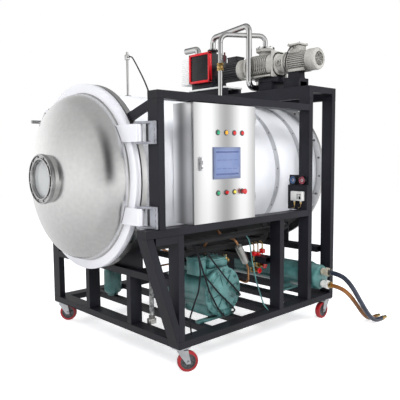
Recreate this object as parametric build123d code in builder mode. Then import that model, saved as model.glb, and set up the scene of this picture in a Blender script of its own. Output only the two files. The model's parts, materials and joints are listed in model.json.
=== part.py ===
"""A vacuum freeze dryer on castors.

A horizontal insulated chamber with a side-hung dished door stands in a welded frame of rectangular tube. The
control cabinet hangs in the front of the frame, the refrigeration set stands in the base, and the vacuum set
stands on the taller rear end. +X runs from the door to the rear, -Y is the operator's side, +Z is up and the
floor is Z = 0. Lengths are in millimetres and angles in degrees.
"""

import os
from math import atan2, cos, radians, sin, sqrt, tan

from build123d import *

os.makedirs("parts", exist_ok=True)

# ---------------------------------------------------------------- frame
FRAME_LENGTH = 1780.0
FRAME_WIDTH = 1650.0
CASTER_HEIGHT = 170.0
TUBE_WIDE = 100.0
TUBE_NARROW = 50.0
TUBE_WALL = 4.0
MID_TOP = 800.0
UPPER_TOP = 1650.0
END_TOP = 1800.0
OVERHANG = 250.0
HINGE_POST_OUT = 150.0
SECOND_POST = 1035.0
END_BAY = 375.0
THIRD_POST = FRAME_LENGTH - END_BAY
SADDLE_BEAM_TOP = 450.0
SADDLE_POST_GAP = 550.0

# The base's near lower corner. The machine's whole reach is centred on X = 0 and Y = 0.
BASE_X = -704.75
BASE_Y = -777.0
BASE_Z = CASTER_HEIGHT

# ---------------------------------------------------------------- chamber
CHAMBER_HEIGHT = 1102.0
SHELL_RADIUS = 550.0
SHELL_WALL = 8.0
JACKET_RADIUS = 596.0
JACKET_GAP = 0.5
JACKET_PAST_FRAME = 70.0
JACKET_END = FRAME_LENGTH + JACKET_PAST_FRAME
RING_RADIUS = 655.0
RING_THICK = 45.0
REAR_RING_THICK = 30.0
REAR_PLATE = 16.0
REAR_RIB = 12.0
REAR_RIB_OUT = 40.0
REAR_RIBS = 3
NOZZLE_GAP = 9.0
SHELF_SET_BACK = 60.0
SHELF_LENGTH = 1480.0
SHELF_WIDTH = 720.0
SHELF_THICK = 20.0
SHELF_COUNT = 6
SHELF_PITCH = 100.0
SHELF_LOWEST = -290.0
RACK_POST = 30.0
RUNNER = 200.0
LEDGE = 18.0
LEDGE_THICK = 4.0
ICE_PLATES = 9
ICE_PITCH = 76.0
ICE_THICK = 8.0
ICE_LENGTH = 230.0
ICE_TALL = 560.0
ICE_HEADER = 28.0

# ---------------------------------------------------------------- door
SEAL_GAP = 3.0
SEAL_WIDTH = 16.0
SEAL_REBATE = 6.0
SEAL_CLEARANCE = 0.3
DOOR_RING_THICK = 42.0
DOOR_BORE = 545.0
DISH_RADIUS = 585.0
DISH_CROWN = 1000.0
DISH_KNUCKLE = 160.0
DISH_WALL = 8.0
SIGHT_BORE = 119.0
SIGHT_NECK_RADIUS = 165.0
SIGHT_NECK_OUT = 12.0
GLASS_RADIUS = 140.0
GLASS_THICK = 15.0
SIGHT_RING_RADIUS = 170.0
SIGHT_RING_THICK = 28.0
SIGHT_OPEN = 127.0
HINGE_OUT = 40.0
HINGE_SIDE = 140.0
HINGE_HEIGHTS = (872.0, 1395.0)
HINGE_LENGTH = 110.0
KNUCKLE_RADIUS = 24.0
PIN_RADIUS = 11.0
FIT = 0.05
EAR_THICK = 14.0
EAR_GAP = 1.0
HINGE_PLATE = 15.0
ARM_THICK = 20.0
ARM_REACH = 230.0
CLAMP_ANGLE = 44.0
CLAMP_OUT = 682.0
CLAMP_LUG = 50.0
SPINDLE_RADIUS = 9.0
LEVER_LENGTH = 95.0
PAWL_LENGTH = 54.0

# ---------------------------------------------------------------- cabinet
CABINET_X = 140.0
CABINET_WIDTH = 600.0
CABINET_DEPTH = 200.0
CABINET_TALL = 795.0
CABINET_DOOR = 18.0
CABINET_GAP = 2.0
CABINET_LIP = 18.0
SHEET = 2.0
BARREL_OUT = 8.0
BARREL_RADIUS = 7.0
BARREL_PIN = 3.5
BARREL_LENGTH = 60.0
BARREL_HEIGHTS = (120.0, 675.0)
PANEL_LEFT = 361.0
PANEL_PITCH = 80.0
SCREEN_HEIGHT = 1199.0
SCREEN_TALL = 216.0
LAMP_GAP = 97.0
BUTTON_GAP = 93.0
LAMP_HEIGHT = SCREEN_HEIGHT + SCREEN_TALL / 2 + LAMP_GAP
LAMP_RADIUS = 12.0
BUTTON_HEIGHT = SCREEN_HEIGHT - SCREEN_TALL / 2 - BUTTON_GAP
BUTTON_RADIUS = 12.0
BUTTON_OUT = 12.0
BUTTON_BACK = 16.0
STOP_RADIUS = 20.0
STOP_OUT = 34.0
SCREEN_X = 446.0
SCREEN_WIDTH = 266.0
SCREEN_OUT = 8.0
SCREEN_BACK = 46.0
SCREEN_RIM = 14.0
LOCK_X = 200.0
LOCK_HEIGHT = 1197.0
LOCK_SPINDLE = 6.0
LOCK_LENGTH = 92.0
LATCH_REACH = LOCK_X - CABINET_X - SHEET - 6.0
GEAR_PLATE = 3.0

# ---------------------------------------------------------------- castors
CASTER_INSET = 50.0
WHEEL_RADIUS = 70.0
WHEEL_WIDTH = 40.0
TRAIL = 48.0
AXLE_RADIUS = 7.0
CHEEK_THICK = 6.0
CHEEK_GAP = 3.0
CHEEK_FOOT = 14.0
CROWN_BACK = -26.0
CROWN_FRONT = 48.0
PLATE_SIDE = 96.0
PLATE_THICK = 8.0
RACE_GAP = 0.5
HEAD_RADIUS = 30.0
HEAD_HEIGHT = 12.0
KINGPIN_RADIUS = 8.0
KINGPIN_LENGTH = 18.0
CASTER_HEADINGS = (-27.0, -45.0, 180.0, 180.0)

# ---------------------------------------------------------------- refrigeration
COMPRESSOR_X = 545.0
COMPRESSOR_FRONT = 128.0
COMPRESSOR_LENGTH = 500.0
COMPRESSOR_RADIUS = 160.0
COMPRESSOR_HEIGHT = 262.0
COVER_RADIUS = 178.0
COVER_THICK = 20.0
SKID_PLACES = (345.0, 655.0)
SKID_SIDE = 50.0
CONDENSER_X = THIRD_POST + 162.0
CONDENSER_HEIGHT = 220.0
CONDENSER_RADIUS = 105.0
CONDENSER_LENGTH = 1240.0
CONDENSER_FRONT = 135.0
CAP_RADIUS = 120.0
CAP_PLATE = 25.0
CAP_LENGTH = 138.0
CAP_CORNER = 20.0
CAP_BODY = 106.0
WATER_PITCH = 106.0
WATER_REACH = 68.0
WATER_RADIUS = 30.0
WATER_NUT = 42.0
RECEIVER_X = 370.0
RECEIVER_Y = 1300.0
RECEIVER_RADIUS = 75.0
RECEIVER_TALL = 230.0
DRIER_RADIUS = 28.0
KNOB_RADIUS = 22.0
KNOB_THICK = 14.0
KNOB_SPOTS = ((1052.0, 200.0, 370.0), (985.0, 200.0, 340.0))
STEM_RADIUS = 5.0
LINE_RADIUS = 9.0
SUCTION_RADIUS = 17.0

LIQUID_HEIGHT = 300.0
GAS_HEIGHT = 590.0
DRIER_TAIL = 45.0
DRAIN_SPOT = (122.0, 440.0)
DRAIN_RADIUS = 14.0

# ---------------------------------------------------------------- gauges
GAUGE_PLATE = 4.0
GAUGE_WIDE = 190.0
GAUGE_TALL = 200.0
GAUGE_RADIUS = 36.0
GAUGE_DEPTH = 26.0

# ---------------------------------------------------------------- vacuum set
PUMP_LINE_X = THIRD_POST + 185.0
PUMP_AXIS = 2035.0
ROOTS_FRONT = 345.0
ROOTS_LENGTH = 435.0
ROOTS_RADIUS = 104.0
ROOTS_CASE = 220.0
ROOTS_CORNER = 90.0
LANTERN_RADIUS = 78.0
LANTERN_WALL = 12.0
LANTERN_LENGTH = 95.0
LANTERN_FLANGE = 14.0
LANTERN_WINDOW = 20.0
COUPLING_RADIUS = 40.0
COLLAR_THICK = 22.0
GEAR_CASE_END = 185.0
RIB_COUNT = 10
RIB_THICK = 8.0
RIB_PITCH = 22.0
RIB_DEEP = 9.0
END_COVER = 28.0
MOTOR_FRONT = 38.0
MOTOR_RADIUS = 84.0
MOTOR_BELL = 25.0
FIN_COUNT = 28
FIN_THICK = 3.0
FIN_TALL = 10.0
FIN_SHORT = 1.0
COWL_RADIUS = 90.0
COWL_LENGTH = 70.0
BACKING_FRONT = 850.0
BACKING_RADIUS = 94.0
BACKING_BELL = 35.0
PUMP_FRONT = 1200.0
COVER_BOX_WIDE = 292.0
COVER_BOX_TALL = 286.0
COVER_BOX_LOW = 1955.0
PUMP_BLOCK_LENGTH = 300.0
PUMP_BLOCK_WIDE = 210.0
PUMP_BLOCK_TALL = 275.0
FILTER_BOX_LENGTH = 150.0
FILTER_BOX_TALL = 262.0
LOUVRES = 12
LOUVRE_PITCH = 20.0
LOUVRE_DEEP = 6.0
EXHAUST_BACK = 240.0
EXHAUST_RISE = 75.0
EXHAUST_RUN = 180.0
PIPE_RADIUS = 21.0
BIG_PIPE_RADIUS = 26.0
PIPE_WALL = 2.5
RISER = (1233.0, 825.0)
BIG_RISER_X = THIRD_POST + 45.0
INLET_TOP = 2183.0
CROSS_HEIGHT = 2305.0
BIG_HEIGHT = 2393.0
EXHAUST_RADIUS = 30.0
ROOTS_PORT_Y = 610.0
ROOTS_OUT_Y = 681.0
PUMP_INLET_Y = 1275.0
MAST = (228.0, 825.0)
MAST_RADIUS = 9.0
MAST_TOP = 2030.0
VALVE_LOW = 1990.0
VALVE_TALL = 66.0

# ---------------------------------------------------------------- hoses and leads
UPPER_HOSE_RADIUS = 19.0
HOSE_X = CONDENSER_X
UPPER_HOSE = (
    (HOSE_X, -96, 273),
    (HOSE_X, -205, 273),
    (HOSE_X + 27, -285, 198),
    (HOSE_X + 98, -328, 60),
    (HOSE_X + 198, -350, -78),
    (HOSE_X + 308, -356, -151),
    (HOSE_X + 408, -356, -151),
)
LOWER_HOSE_RADIUS = 17.0
LOWER_HOSE = (
    (HOSE_X, -96, 167),
    (HOSE_X, -190, 167),
    (HOSE_X + 35, -260, 118),
    (HOSE_X + 123, -284, 15),
    (HOSE_X + 223, -292, -92),
    (HOSE_X + 328, -292, -153),
    (HOSE_X + 418, -292, -153),
)
LEAD_RADIUS = 5.0
MAST_LEAD = (
    (228, 810, 1992),
    (228, 770, 1992),
    (190, 690, 1950),
    (90, 500, 1850),
    (-60, 230, 1715),
    (-120, 120, 1640),
)
MOTOR_LEAD = (
    (PUMP_LINE_X - 60, 250, 2150),
    (PUMP_LINE_X - 112, 250, 2150),
    (PUMP_LINE_X - 156, 262, 2060),
    (PUMP_LINE_X - 160, 268, 1940),
    (PUMP_LINE_X - 160, 268, 1800),
)

# ---------------------------------------------------------------- places worked out from the sizes above
CHAMBER_Y = BASE_Y + FRAME_WIDTH / 2
CHAMBER_Z = BASE_Z + CHAMBER_HEIGHT
BACK_Y = BASE_Y + FRAME_WIDTH
REAR_X = BASE_X + FRAME_LENGTH
FACE_X = BASE_X - HINGE_POST_OUT
DOOR_BACK_X = FACE_X - SEAL_GAP
DOOR_FRONT_X = DOOR_BACK_X - DOOR_RING_THICK
HINGE_X = FACE_X - HINGE_OUT
HINGE_Y = BASE_Y + HINGE_SIDE
SHELL_BORE = SHELL_RADIUS - SHELL_WALL
RISER_SPOT = (BASE_X + RISER[0], BASE_Y + RISER[1])
MAST_SPOT = (BASE_X + MAST[0], BASE_Y + MAST[1])
LOW = (Align.CENTER, Align.CENTER, Align.MIN)
LOW_CORNER = (Align.MIN, Align.CENTER, Align.MIN)
CHAMBER_AXIS = Axis((0, CHAMBER_Y, CHAMBER_Z), (1, 0, 0))
CHAMBER_PLANE = Plane(origin=(0, CHAMBER_Y, CHAMBER_Z), x_dir=(1, 0, 0), z_dir=(0, -1, 0))


def at(x, y, z):
    """A point given from the base's near lower corner: along the machine, into its depth and up."""
    return (BASE_X + x, BASE_Y + y, BASE_Z + z)


def save(name, *solids):
    """Write one node: a single part, or a group of separate solids that share the node."""
    node = solids[0] if len(solids) == 1 else Compound(children=list(solids))
    node.label = name
    export_step(node, f"parts/{name}.step")


def disc(start, way, radius, length, bore=0.0, mode=Mode.ADD):
    """A round disc or bar from a point along 'X', 'Y' or 'Z', in the open builder."""
    axis = {"X": (1, 0, 0), "Y": (0, 1, 0), "Z": (0, 0, 1)}[way]
    with BuildSketch(Plane(origin=start, z_dir=axis)) as outline:
        Circle(radius)
        if bore:
            Circle(bore, mode=Mode.SUBTRACT)
    return extrude(outline.sketch, amount=length, mode=mode)


def tube(run, low, size, wall=TUBE_WALL, cap=None):
    """A rectangular tube along X, Y or Z. low is its lowest corner and size its three outer lengths."""
    x, y, z = low
    dx, dy, dz = size
    if run == "X":
        plane = Plane(origin=(x, y + dy / 2, z + dz / 2), x_dir=(0, 1, 0), z_dir=(1, 0, 0))
        wide, high, length = dy, dz, dx
    elif run == "Y":
        plane = Plane(origin=(x + dx / 2, y, z + dz / 2), x_dir=(0, 0, 1), z_dir=(0, 1, 0))
        wide, high, length = dz, dx, dy
    else:
        plane = Plane(origin=(x + dx / 2, y + dy / 2, z), x_dir=(1, 0, 0), z_dir=(0, 0, 1))
        wide, high, length = dx, dy, dz
    with BuildPart() as bar:
        with BuildSketch(plane):
            Rectangle(wide, high)
            Rectangle(wide - 2 * wall, high - 2 * wall, mode=Mode.SUBTRACT)
        extrude(amount=length)
        for end, shift in (("low", 0), ("high", length - wall)):
            if cap in (end, "both"):
                with BuildSketch(plane.offset(shift)):
                    Rectangle(wide, high)
                extrude(amount=wall)
    return bar.part


def block(low, size, mode=Mode.ADD):
    """A plain rectangular block, placed by its lowest corner in the open builder."""
    with Locations(low):
        return Box(*size, align=(Align.MIN, Align.MIN, Align.MIN), mode=mode)


def rod(start, end, radius):
    """A straight round bar between two vectors, in the open builder."""
    run = end - start
    with BuildSketch(Plane(origin=start, z_dir=run)) as outline:
        Circle(radius)
    return extrude(outline.sketch, amount=run.length)


def pipe(points, bends, radius, wall=0.0):
    """A tube along straight runs joined by tangent arcs, or by mitres where bends is None, as its own part."""
    with BuildPart() as bent:
        with BuildLine() as route:
            if bends is None:
                Polyline(*points)
            else:
                FilletPolyline(*points, radius=bends)
        start = route.line @ 0
        way = route.line % 0
        with BuildSketch(Plane(origin=start, z_dir=way)):
            Circle(radius)
            if wall:
                Circle(radius - wall, mode=Mode.SUBTRACT)
        sweep(path=route.line, transition=Transition.RIGHT)
    return bent.part


def cord(name, points, radius):
    """A cord's plain tube. Each bend is as large as its two runs allow, and the radii are printed."""
    runs = [Vector(*b) - Vector(*a) for a, b in zip(points, points[1:])]
    bends = []
    for before, after in zip(runs, runs[1:]):
        half = radians(before.get_angle(after)) / 2
        bends.append(0.45 * min(before.length, after.length) / tan(half))
    print(name, "bend radii in diameters:", [round(bend / (2 * radius), 1) for bend in bends])
    return pipe(points, bends, radius)


def ring(start, length, outer, inner=0.0, mode=Mode.ADD):
    """A round ring about the chamber's axis, in the open builder."""
    with BuildSketch(Plane(origin=(start, CHAMBER_Y, CHAMBER_Z), z_dir=(1, 0, 0))) as outline:
        Circle(outer)
        if inner:
            Circle(inner, mode=Mode.SUBTRACT)
    return extrude(outline.sketch, amount=length, mode=mode)


def dish_depth(radius, crown, knuckle):
    """How far a head of spherical crown and rounded knuckle stands out of its cylinder."""
    return crown - sqrt((crown - knuckle) ** 2 - (radius - knuckle) ** 2)


def dish_turn(radius, crown, knuckle):
    """Where the knuckle meets the crown: its distance along the axis and its radius."""
    depth = dish_depth(radius, crown, knuckle)
    lean = atan2(radius - knuckle, crown - depth)
    return depth - crown + crown * cos(lean), crown * sin(lean)


def dish_lines(start, way, radius, crown, knuckle, stop=0.0):
    """Add a head's outline to the open line, from the cylinder's edge to the crown at the radius stop."""
    along, out = dish_turn(radius, crown, knuckle)
    centre = dish_depth(radius, crown, knuckle) - crown
    turn = (start + way * along, out)
    end = (start + way * (centre + sqrt(crown**2 - stop**2)), stop)
    first = TangentArc((start, radius), turn, tangent=(way, 0))
    TangentArc(turn, end, tangent=first % 1)
    return end


# ================================================================ frame
# Base: four beams laid flat, and cross-members under the middle and rear posts.
side = (FRAME_LENGTH, TUBE_WIDE, TUBE_NARROW)
across = (TUBE_WIDE, FRAME_WIDTH - 2 * TUBE_WIDE, TUBE_NARROW)
middle_x = BASE_X + SECOND_POST + TUBE_NARROW - TUBE_WIDE
base_beams = [tube("X", (BASE_X, y, BASE_Z), side, cap="both") for y in (BASE_Y, BACK_Y - TUBE_WIDE)]
base_beams += [
    tube("Y", (x, BASE_Y + TUBE_WIDE, BASE_Z), across)
    for x in (BASE_X, middle_x, BASE_X + THIRD_POST + TUBE_NARROW - TUBE_WIDE, REAR_X - TUBE_WIDE)
]
skid = (SKID_SIDE, FRAME_WIDTH - 2 * TUBE_WIDE, TUBE_NARROW)
base_beams += [tube("Y", (BASE_X + x, BASE_Y + TUBE_WIDE, BASE_Z), skid) for x in SKID_PLACES]
save("base_beams", *base_beams)

# Posts: narrow side along X. The two rear pairs run up to the pump platform.
post_foot = BASE_Z + TUBE_NARROW
mid_under = BASE_Z + MID_TOP - TUBE_NARROW
end_under = BASE_Z + END_TOP - TUBE_WIDE
frame_posts = []
for y in (BASE_Y, BACK_Y - TUBE_WIDE):
    for x, top in (
        (BASE_X, mid_under),
        (BASE_X + SECOND_POST, mid_under),
        (BASE_X + THIRD_POST, end_under),
        (REAR_X - TUBE_NARROW, end_under),
    ):
        frame_posts.append(tube("Z", (x, y, post_foot), (TUBE_NARROW, TUBE_WIDE, top - post_foot)))
upper_low = BASE_Z + MID_TOP
upper_high = BASE_Z + UPPER_TOP - TUBE_NARROW
post_size = (TUBE_NARROW, TUBE_WIDE, upper_high - upper_low)
frame_posts.append(tube("Z", (FACE_X, BASE_Y, upper_low), post_size))
frame_posts.append(tube("Z", (BASE_X, BACK_Y - TUBE_WIDE, upper_low), post_size))
save("frame_posts", *frame_posts)

# Mid level: two rails, and three cross-beams on short posts that carry the chamber's cradles.
saddle_z = BASE_Z + SADDLE_BEAM_TOP
rail = (THIRD_POST, TUBE_WIDE, TUBE_NARROW)
mid_beams = [
    tube("X", (BASE_X - OVERHANG, BASE_Y, mid_under), (THIRD_POST + OVERHANG, TUBE_WIDE, TUBE_NARROW), cap="low"),
    tube("X", (BASE_X, BACK_Y - TUBE_WIDE, mid_under), rail, cap="low"),
]
saddle_places = (BASE_X, middle_x, REAR_X - TUBE_WIDE)
for x in saddle_places:
    mid_beams.append(tube("Y", (x, BASE_Y + TUBE_WIDE, saddle_z - TUBE_NARROW), across))
    for y in (CHAMBER_Y - SADDLE_POST_GAP / 2, CHAMBER_Y + SADDLE_POST_GAP / 2):
        tall = saddle_z - TUBE_NARROW - post_foot
        mid_beams.append(tube("Z", (x, y - TUBE_NARROW / 2, post_foot), (TUBE_WIDE, TUBE_NARROW, tall)))
    # The cradle: a web with a curved strap that the jacket lies in.
    with BuildPart() as cradle:
        with BuildSketch(Plane(origin=(x + TUBE_WIDE / 2 - 6, CHAMBER_Y, CHAMBER_Z), x_dir=(0, 1, 0), z_dir=(1, 0, 0))):
            with Locations((0, saddle_z - CHAMBER_Z)):
                Rectangle(760, 260, align=(Align.CENTER, Align.MIN))
            Circle(JACKET_RADIUS + 6, mode=Mode.SUBTRACT)
        extrude(amount=12)
        with BuildSketch(Plane(origin=(x, CHAMBER_Y, CHAMBER_Z), x_dir=(0, 1, 0), z_dir=(1, 0, 0))):
            Circle(JACKET_RADIUS + 6)
            Circle(JACKET_RADIUS, mode=Mode.SUBTRACT)
            with Locations((0, -JACKET_RADIUS)):
                Rectangle(760, 300, mode=Mode.INTERSECT)
        extrude(amount=TUBE_WIDE)
    mid_beams.append(cradle.part)
save("mid_beams", *mid_beams)

# Top level: the long beams, the rear end's crossbeams and the headers between them.
top_beams = []
for y, start in ((BASE_Y, FACE_X), (BACK_Y - TUBE_WIDE, BASE_X)):
    length = BASE_X + THIRD_POST - start
    top_beams.append(tube("X", (start, y, upper_high), (length, TUBE_WIDE, TUBE_NARROW), cap="low"))
for x in (BASE_X + THIRD_POST, REAR_X - TUBE_NARROW):
    top_beams.append(tube("Y", (x, BASE_Y, end_under), (TUBE_NARROW, FRAME_WIDTH, TUBE_WIDE), cap="both"))
header_x = BASE_X + THIRD_POST + TUBE_NARROW
header_run = REAR_X - TUBE_NARROW - header_x
platform_z = BASE_Z + END_TOP
platform_places = (BASE_Y, BASE_Y + 200, BASE_Y + 560, BASE_Y + 1000, BASE_Y + 1330, BACK_Y - TUBE_WIDE)
for y in platform_places:
    top_beams.append(tube("X", (header_x, y, platform_z - TUBE_NARROW), (header_run, TUBE_WIDE, TUBE_NARROW)))
save("top_beams", *top_beams)

# The sloping strut under the overhang, the short filler tube behind it and the strap that ties the hinge post
# to the chamber's ring.
strut_top = MID_TOP - TUBE_NARROW
slope = OVERHANG / strut_top
strut_wide = TUBE_NARROW / cos(atan2(OVERHANG, strut_top))
wall_wide = TUBE_WALL * strut_wide / TUBE_NARROW
strut_plane = Plane(origin=(BASE_X, BASE_Y + TUBE_WIDE, BASE_Z), x_dir=(1, 0, 0), z_dir=(0, -1, 0))
with BuildPart() as strut:
    with BuildSketch(strut_plane):
        with BuildLine():
            Polyline(
                (-OVERHANG, strut_top),
                (-OVERHANG + strut_wide, strut_top),
                (0, strut_wide / slope),
                (0, 0),
                close=True,
            )
        make_face()
    extrude(amount=TUBE_WIDE)
    with BuildSketch(strut_plane.offset(TUBE_WALL)):
        with BuildLine():
            Polyline(
                (-OVERHANG + wall_wide, strut_top),
                (-OVERHANG + strut_wide - wall_wide, strut_top),
                (0, (strut_wide - wall_wide) / slope),
                (0, wall_wide / slope),
                close=True,
            )
        make_face()
    extrude(amount=TUBE_WIDE - 2 * TUBE_WALL, mode=Mode.SUBTRACT)
filler_x = -OVERHANG + strut_wide + TUBE_NARROW * slope
filler = tube(
    "X",
    (BASE_X + filler_x, BASE_Y, mid_under - TUBE_NARROW),
    (-filler_x, TUBE_WIDE, TUBE_NARROW),
)
strap_x = FACE_X + 10
with BuildPart() as strap:
    strap_plane = Plane(origin=(strap_x, CHAMBER_Y, CHAMBER_Z), x_dir=(0, 1, 0), z_dir=(1, 0, 0))
    post_side = BASE_Y + TUBE_WIDE - CHAMBER_Y
    with BuildSketch(strap_plane):
        with BuildLine():
            Polyline(
                (post_side, upper_high - CHAMBER_Z),
                (post_side, upper_high - 55 - CHAMBER_Z),
                (post_side + 260, upper_high - 145 - CHAMBER_Z),
                (post_side + 300, upper_high - 95 - CHAMBER_Z),
                close=True,
            )
        make_face()
        Circle(RING_RADIUS, mode=Mode.SUBTRACT)
    extrude(amount=30)
save("door_strut", strut.part, filler, strap.part)


# ================================================================ castors
def caster_spot(number):
    """The swivel axis of one castor on the floor plane, and its heading."""
    x = BASE_X + CASTER_INSET if number in (1, 2) else REAR_X - CASTER_INSET
    y = BASE_Y + CASTER_INSET if number in (1, 3) else BACK_Y - CASTER_INSET
    return x, y, CASTER_HEADINGS[number - 1]


caster_plates = []
for number in (1, 2, 3, 4):
    x, y, heading = caster_spot(number)
    under_plate = CASTER_HEIGHT - PLATE_THICK
    with BuildPart() as mount_plate:
        with Locations((x, y, under_plate)):
            Box(PLATE_SIDE, PLATE_SIDE, PLATE_THICK, align=(Align.CENTER, Align.CENTER, Align.MIN))
            Cylinder(KINGPIN_RADIUS, KINGPIN_LENGTH, align=(Align.CENTER, Align.CENTER, Align.MAX))
    caster_plates.append(mount_plate.part)

    # Fork: race head, crown and two raked cheeks, with the axle bolt across them.
    level = Plane(origin=(x, y, 0), x_dir=(cos(radians(heading)), sin(radians(heading)), 0), z_dir=(0, 0, 1))
    upright = Plane(origin=(x, y, 0), x_dir=level.x_dir, z_dir=level.y_dir * -1)
    cheek_in = WHEEL_WIDTH / 2 + CHEEK_GAP
    head_top = under_plate - RACE_GAP
    crown_top = head_top - HEAD_HEIGHT
    cheek_top = crown_top - CHEEK_THICK
    with BuildPart() as fork:
        with BuildSketch(level.offset(crown_top)):
            Circle(HEAD_RADIUS)
        extrude(amount=HEAD_HEIGHT)
        with BuildSketch(level.offset(cheek_top)):
            with Locations(((CROWN_FRONT + CROWN_BACK) / 2, 0)):
                Rectangle(CROWN_FRONT - CROWN_BACK, 2 * (cheek_in + CHEEK_THICK))
        extrude(amount=CHEEK_THICK)
        with BuildSketch(level.offset(head_top)):
            Circle(KINGPIN_RADIUS + FIT)
        extrude(amount=-KINGPIN_LENGTH - RACE_GAP, mode=Mode.SUBTRACT)
        for inner in (cheek_in, -cheek_in - CHEEK_THICK):
            with BuildSketch(upright.offset(inner)):
                with BuildLine():
                    Polyline(
                        (CROWN_BACK, cheek_top),
                        (CROWN_FRONT, cheek_top),
                        (TRAIL + CHEEK_FOOT, WHEEL_RADIUS),
                        (TRAIL + CHEEK_FOOT, WHEEL_RADIUS - CHEEK_FOOT),
                        (TRAIL - CHEEK_FOOT, WHEEL_RADIUS - CHEEK_FOOT),
                        close=True,
                    )
                make_face()
            extrude(amount=CHEEK_THICK)
        with BuildSketch(upright.offset(-cheek_in)):
            with Locations((TRAIL, WHEEL_RADIUS)):
                Circle(AXLE_RADIUS)
        extrude(amount=2 * cheek_in)
    save(f"caster_fork_{number}", fork.part)

    # Wheel: hub and bonded tread, bored to run on the axle.
    with BuildPart() as wheel:
        with BuildSketch(upright.offset(-WHEEL_WIDTH / 2)):
            with Locations((TRAIL, WHEEL_RADIUS)):
                Circle(WHEEL_RADIUS)
                Circle(AXLE_RADIUS + FIT, mode=Mode.SUBTRACT)
        extrude(amount=WHEEL_WIDTH)
    save(f"caster_wheel_{number}", wheel.part)
save("caster_plates", *caster_plates)

# ================================================================ chamber
# Shell: a stainless cylinder, open at the door end. A flat plate with cross ribs closes the rear.
rear_x = BASE_X + JACKET_END + REAR_RING_THICK
with BuildPart() as chamber_shell:
    ring(FACE_X, rear_x - FACE_X, SHELL_RADIUS, SHELL_BORE)
    with Locations((RISER_SPOT[0], RISER_SPOT[1], CHAMBER_Z)):
        Cylinder(PIPE_RADIUS - PIPE_WALL, SHELL_RADIUS * 1.1, align=LOW, mode=Mode.SUBTRACT)
with BuildPart() as rear_plate:
    ring(rear_x - REAR_PLATE, REAR_PLATE, SHELL_BORE)
with BuildPart() as rear_ribs:
    for step in range(REAR_RIBS):
        shift = (step - (REAR_RIBS - 1) / 2) * 2 * SHELL_RADIUS / (REAR_RIBS + 1)
        half = sqrt(SHELL_RADIUS**2 - shift**2)
        block((rear_x, CHAMBER_Y + shift - REAR_RIB / 2, CHAMBER_Z - half), (REAR_RIB_OUT, REAR_RIB, 2 * half))
        block((rear_x, CHAMBER_Y - half, CHAMBER_Z + shift - REAR_RIB / 2), (REAR_RIB_OUT, 2 * half, REAR_RIB))
with BuildPart() as face_ring:
    ring(FACE_X + SEAL_REBATE, RING_THICK - SEAL_REBATE, RING_RADIUS, SHELL_RADIUS)
with BuildPart() as rear_ring:
    ring(BASE_X + JACKET_END, REAR_RING_THICK, RING_RADIUS, SHELL_RADIUS)
save("chamber_shell", chamber_shell.part, rear_plate.part, face_ring.part, rear_ring.part, rear_ribs.part)

# The gasket sits in the rebate between the shell's mouth and the face ring.
with BuildPart() as door_gasket:
    gasket_end = FACE_X + SEAL_REBATE
    gasket_start = DOOR_BACK_X + SEAL_CLEARANCE
    ring(gasket_start, gasket_end - gasket_start, SHELL_RADIUS + SEAL_WIDTH, SHELL_RADIUS + SEAL_CLEARANCE)
save("door_gasket", door_gasket.part)

# Jacket: insulation under a sheet skin, cut out round the vacuum nozzle and the probe.
with BuildPart() as chamber_jacket:
    jacket_start = FACE_X + RING_THICK
    ring(jacket_start, BASE_X + JACKET_END - jacket_start, JACKET_RADIUS, SHELL_RADIUS + JACKET_GAP)
    for spot, radius in ((RISER_SPOT, PIPE_RADIUS), (MAST_SPOT, MAST_RADIUS)):
        with Locations((spot[0], spot[1], CHAMBER_Z)):
            Cylinder(radius + NOZZLE_GAP, JACKET_RADIUS * 1.1, align=LOW, mode=Mode.SUBTRACT)
save("chamber_jacket", chamber_jacket.part)

# Inside: heated shelves held in a rack that stands on the shell, and ice plates behind them.
shelf_start = FACE_X + SHELF_SET_BACK
rack_half = SHELF_WIDTH / 2 + RACK_POST
shelf_levels = [CHAMBER_Z + SHELF_LOWEST + SHELF_PITCH * step for step in range(SHELF_COUNT)]
with BuildPart() as shelves:
    for level_z in shelf_levels:
        with Locations((shelf_start, CHAMBER_Y, level_z)):
            Box(SHELF_LENGTH, SHELF_WIDTH, SHELF_THICK, align=(Align.MIN, Align.CENTER, Align.MIN))
save("shelves", *shelves.part.solids())

# The rack: runners on the shell's wall, posts with bars across their tops, and ledges between the posts.
rack_top = shelf_levels[-1] + SHELF_PITCH
post_in = CHAMBER_Y - SHELF_WIDTH / 2
post_pitch = (SHELF_LENGTH - RACK_POST) / 2
runner_top = CHAMBER_Z - SHELL_RADIUS + RUNNER
rack_bars = []
for side_low in (post_in - RACK_POST, post_in + SHELF_WIDTH):
    with BuildPart() as runner:
        block((shelf_start, side_low, runner_top - RUNNER), (SHELF_LENGTH, RACK_POST, RUNNER))
        ring(shelf_start, SHELF_LENGTH, SHELL_BORE, 0, Mode.INTERSECT)
    rack_bars.append(runner.part)
for step in range(3):
    post_x = shelf_start + step * post_pitch
    for side_low in (post_in - RACK_POST, post_in + SHELF_WIDTH):
        with BuildPart() as rack_post:
            block((post_x, side_low, runner_top), (RACK_POST, RACK_POST, rack_top - runner_top))
        rack_bars.append(rack_post.part)
    with BuildPart() as rack_bar:
        block((post_x, post_in - RACK_POST, rack_top), (RACK_POST, SHELF_WIDTH + 2 * RACK_POST, RACK_POST))
    rack_bars.append(rack_bar.part)
for level_z in shelf_levels:
    for side_low in (post_in, post_in + SHELF_WIDTH - LEDGE):
        with BuildPart() as ledge:
            block((shelf_start, side_low, level_z - LEDGE_THICK), (SHELF_LENGTH, LEDGE, LEDGE_THICK))
        rack_bars.append(ledge.part)
save("shelf_rack", *rack_bars)

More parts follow.
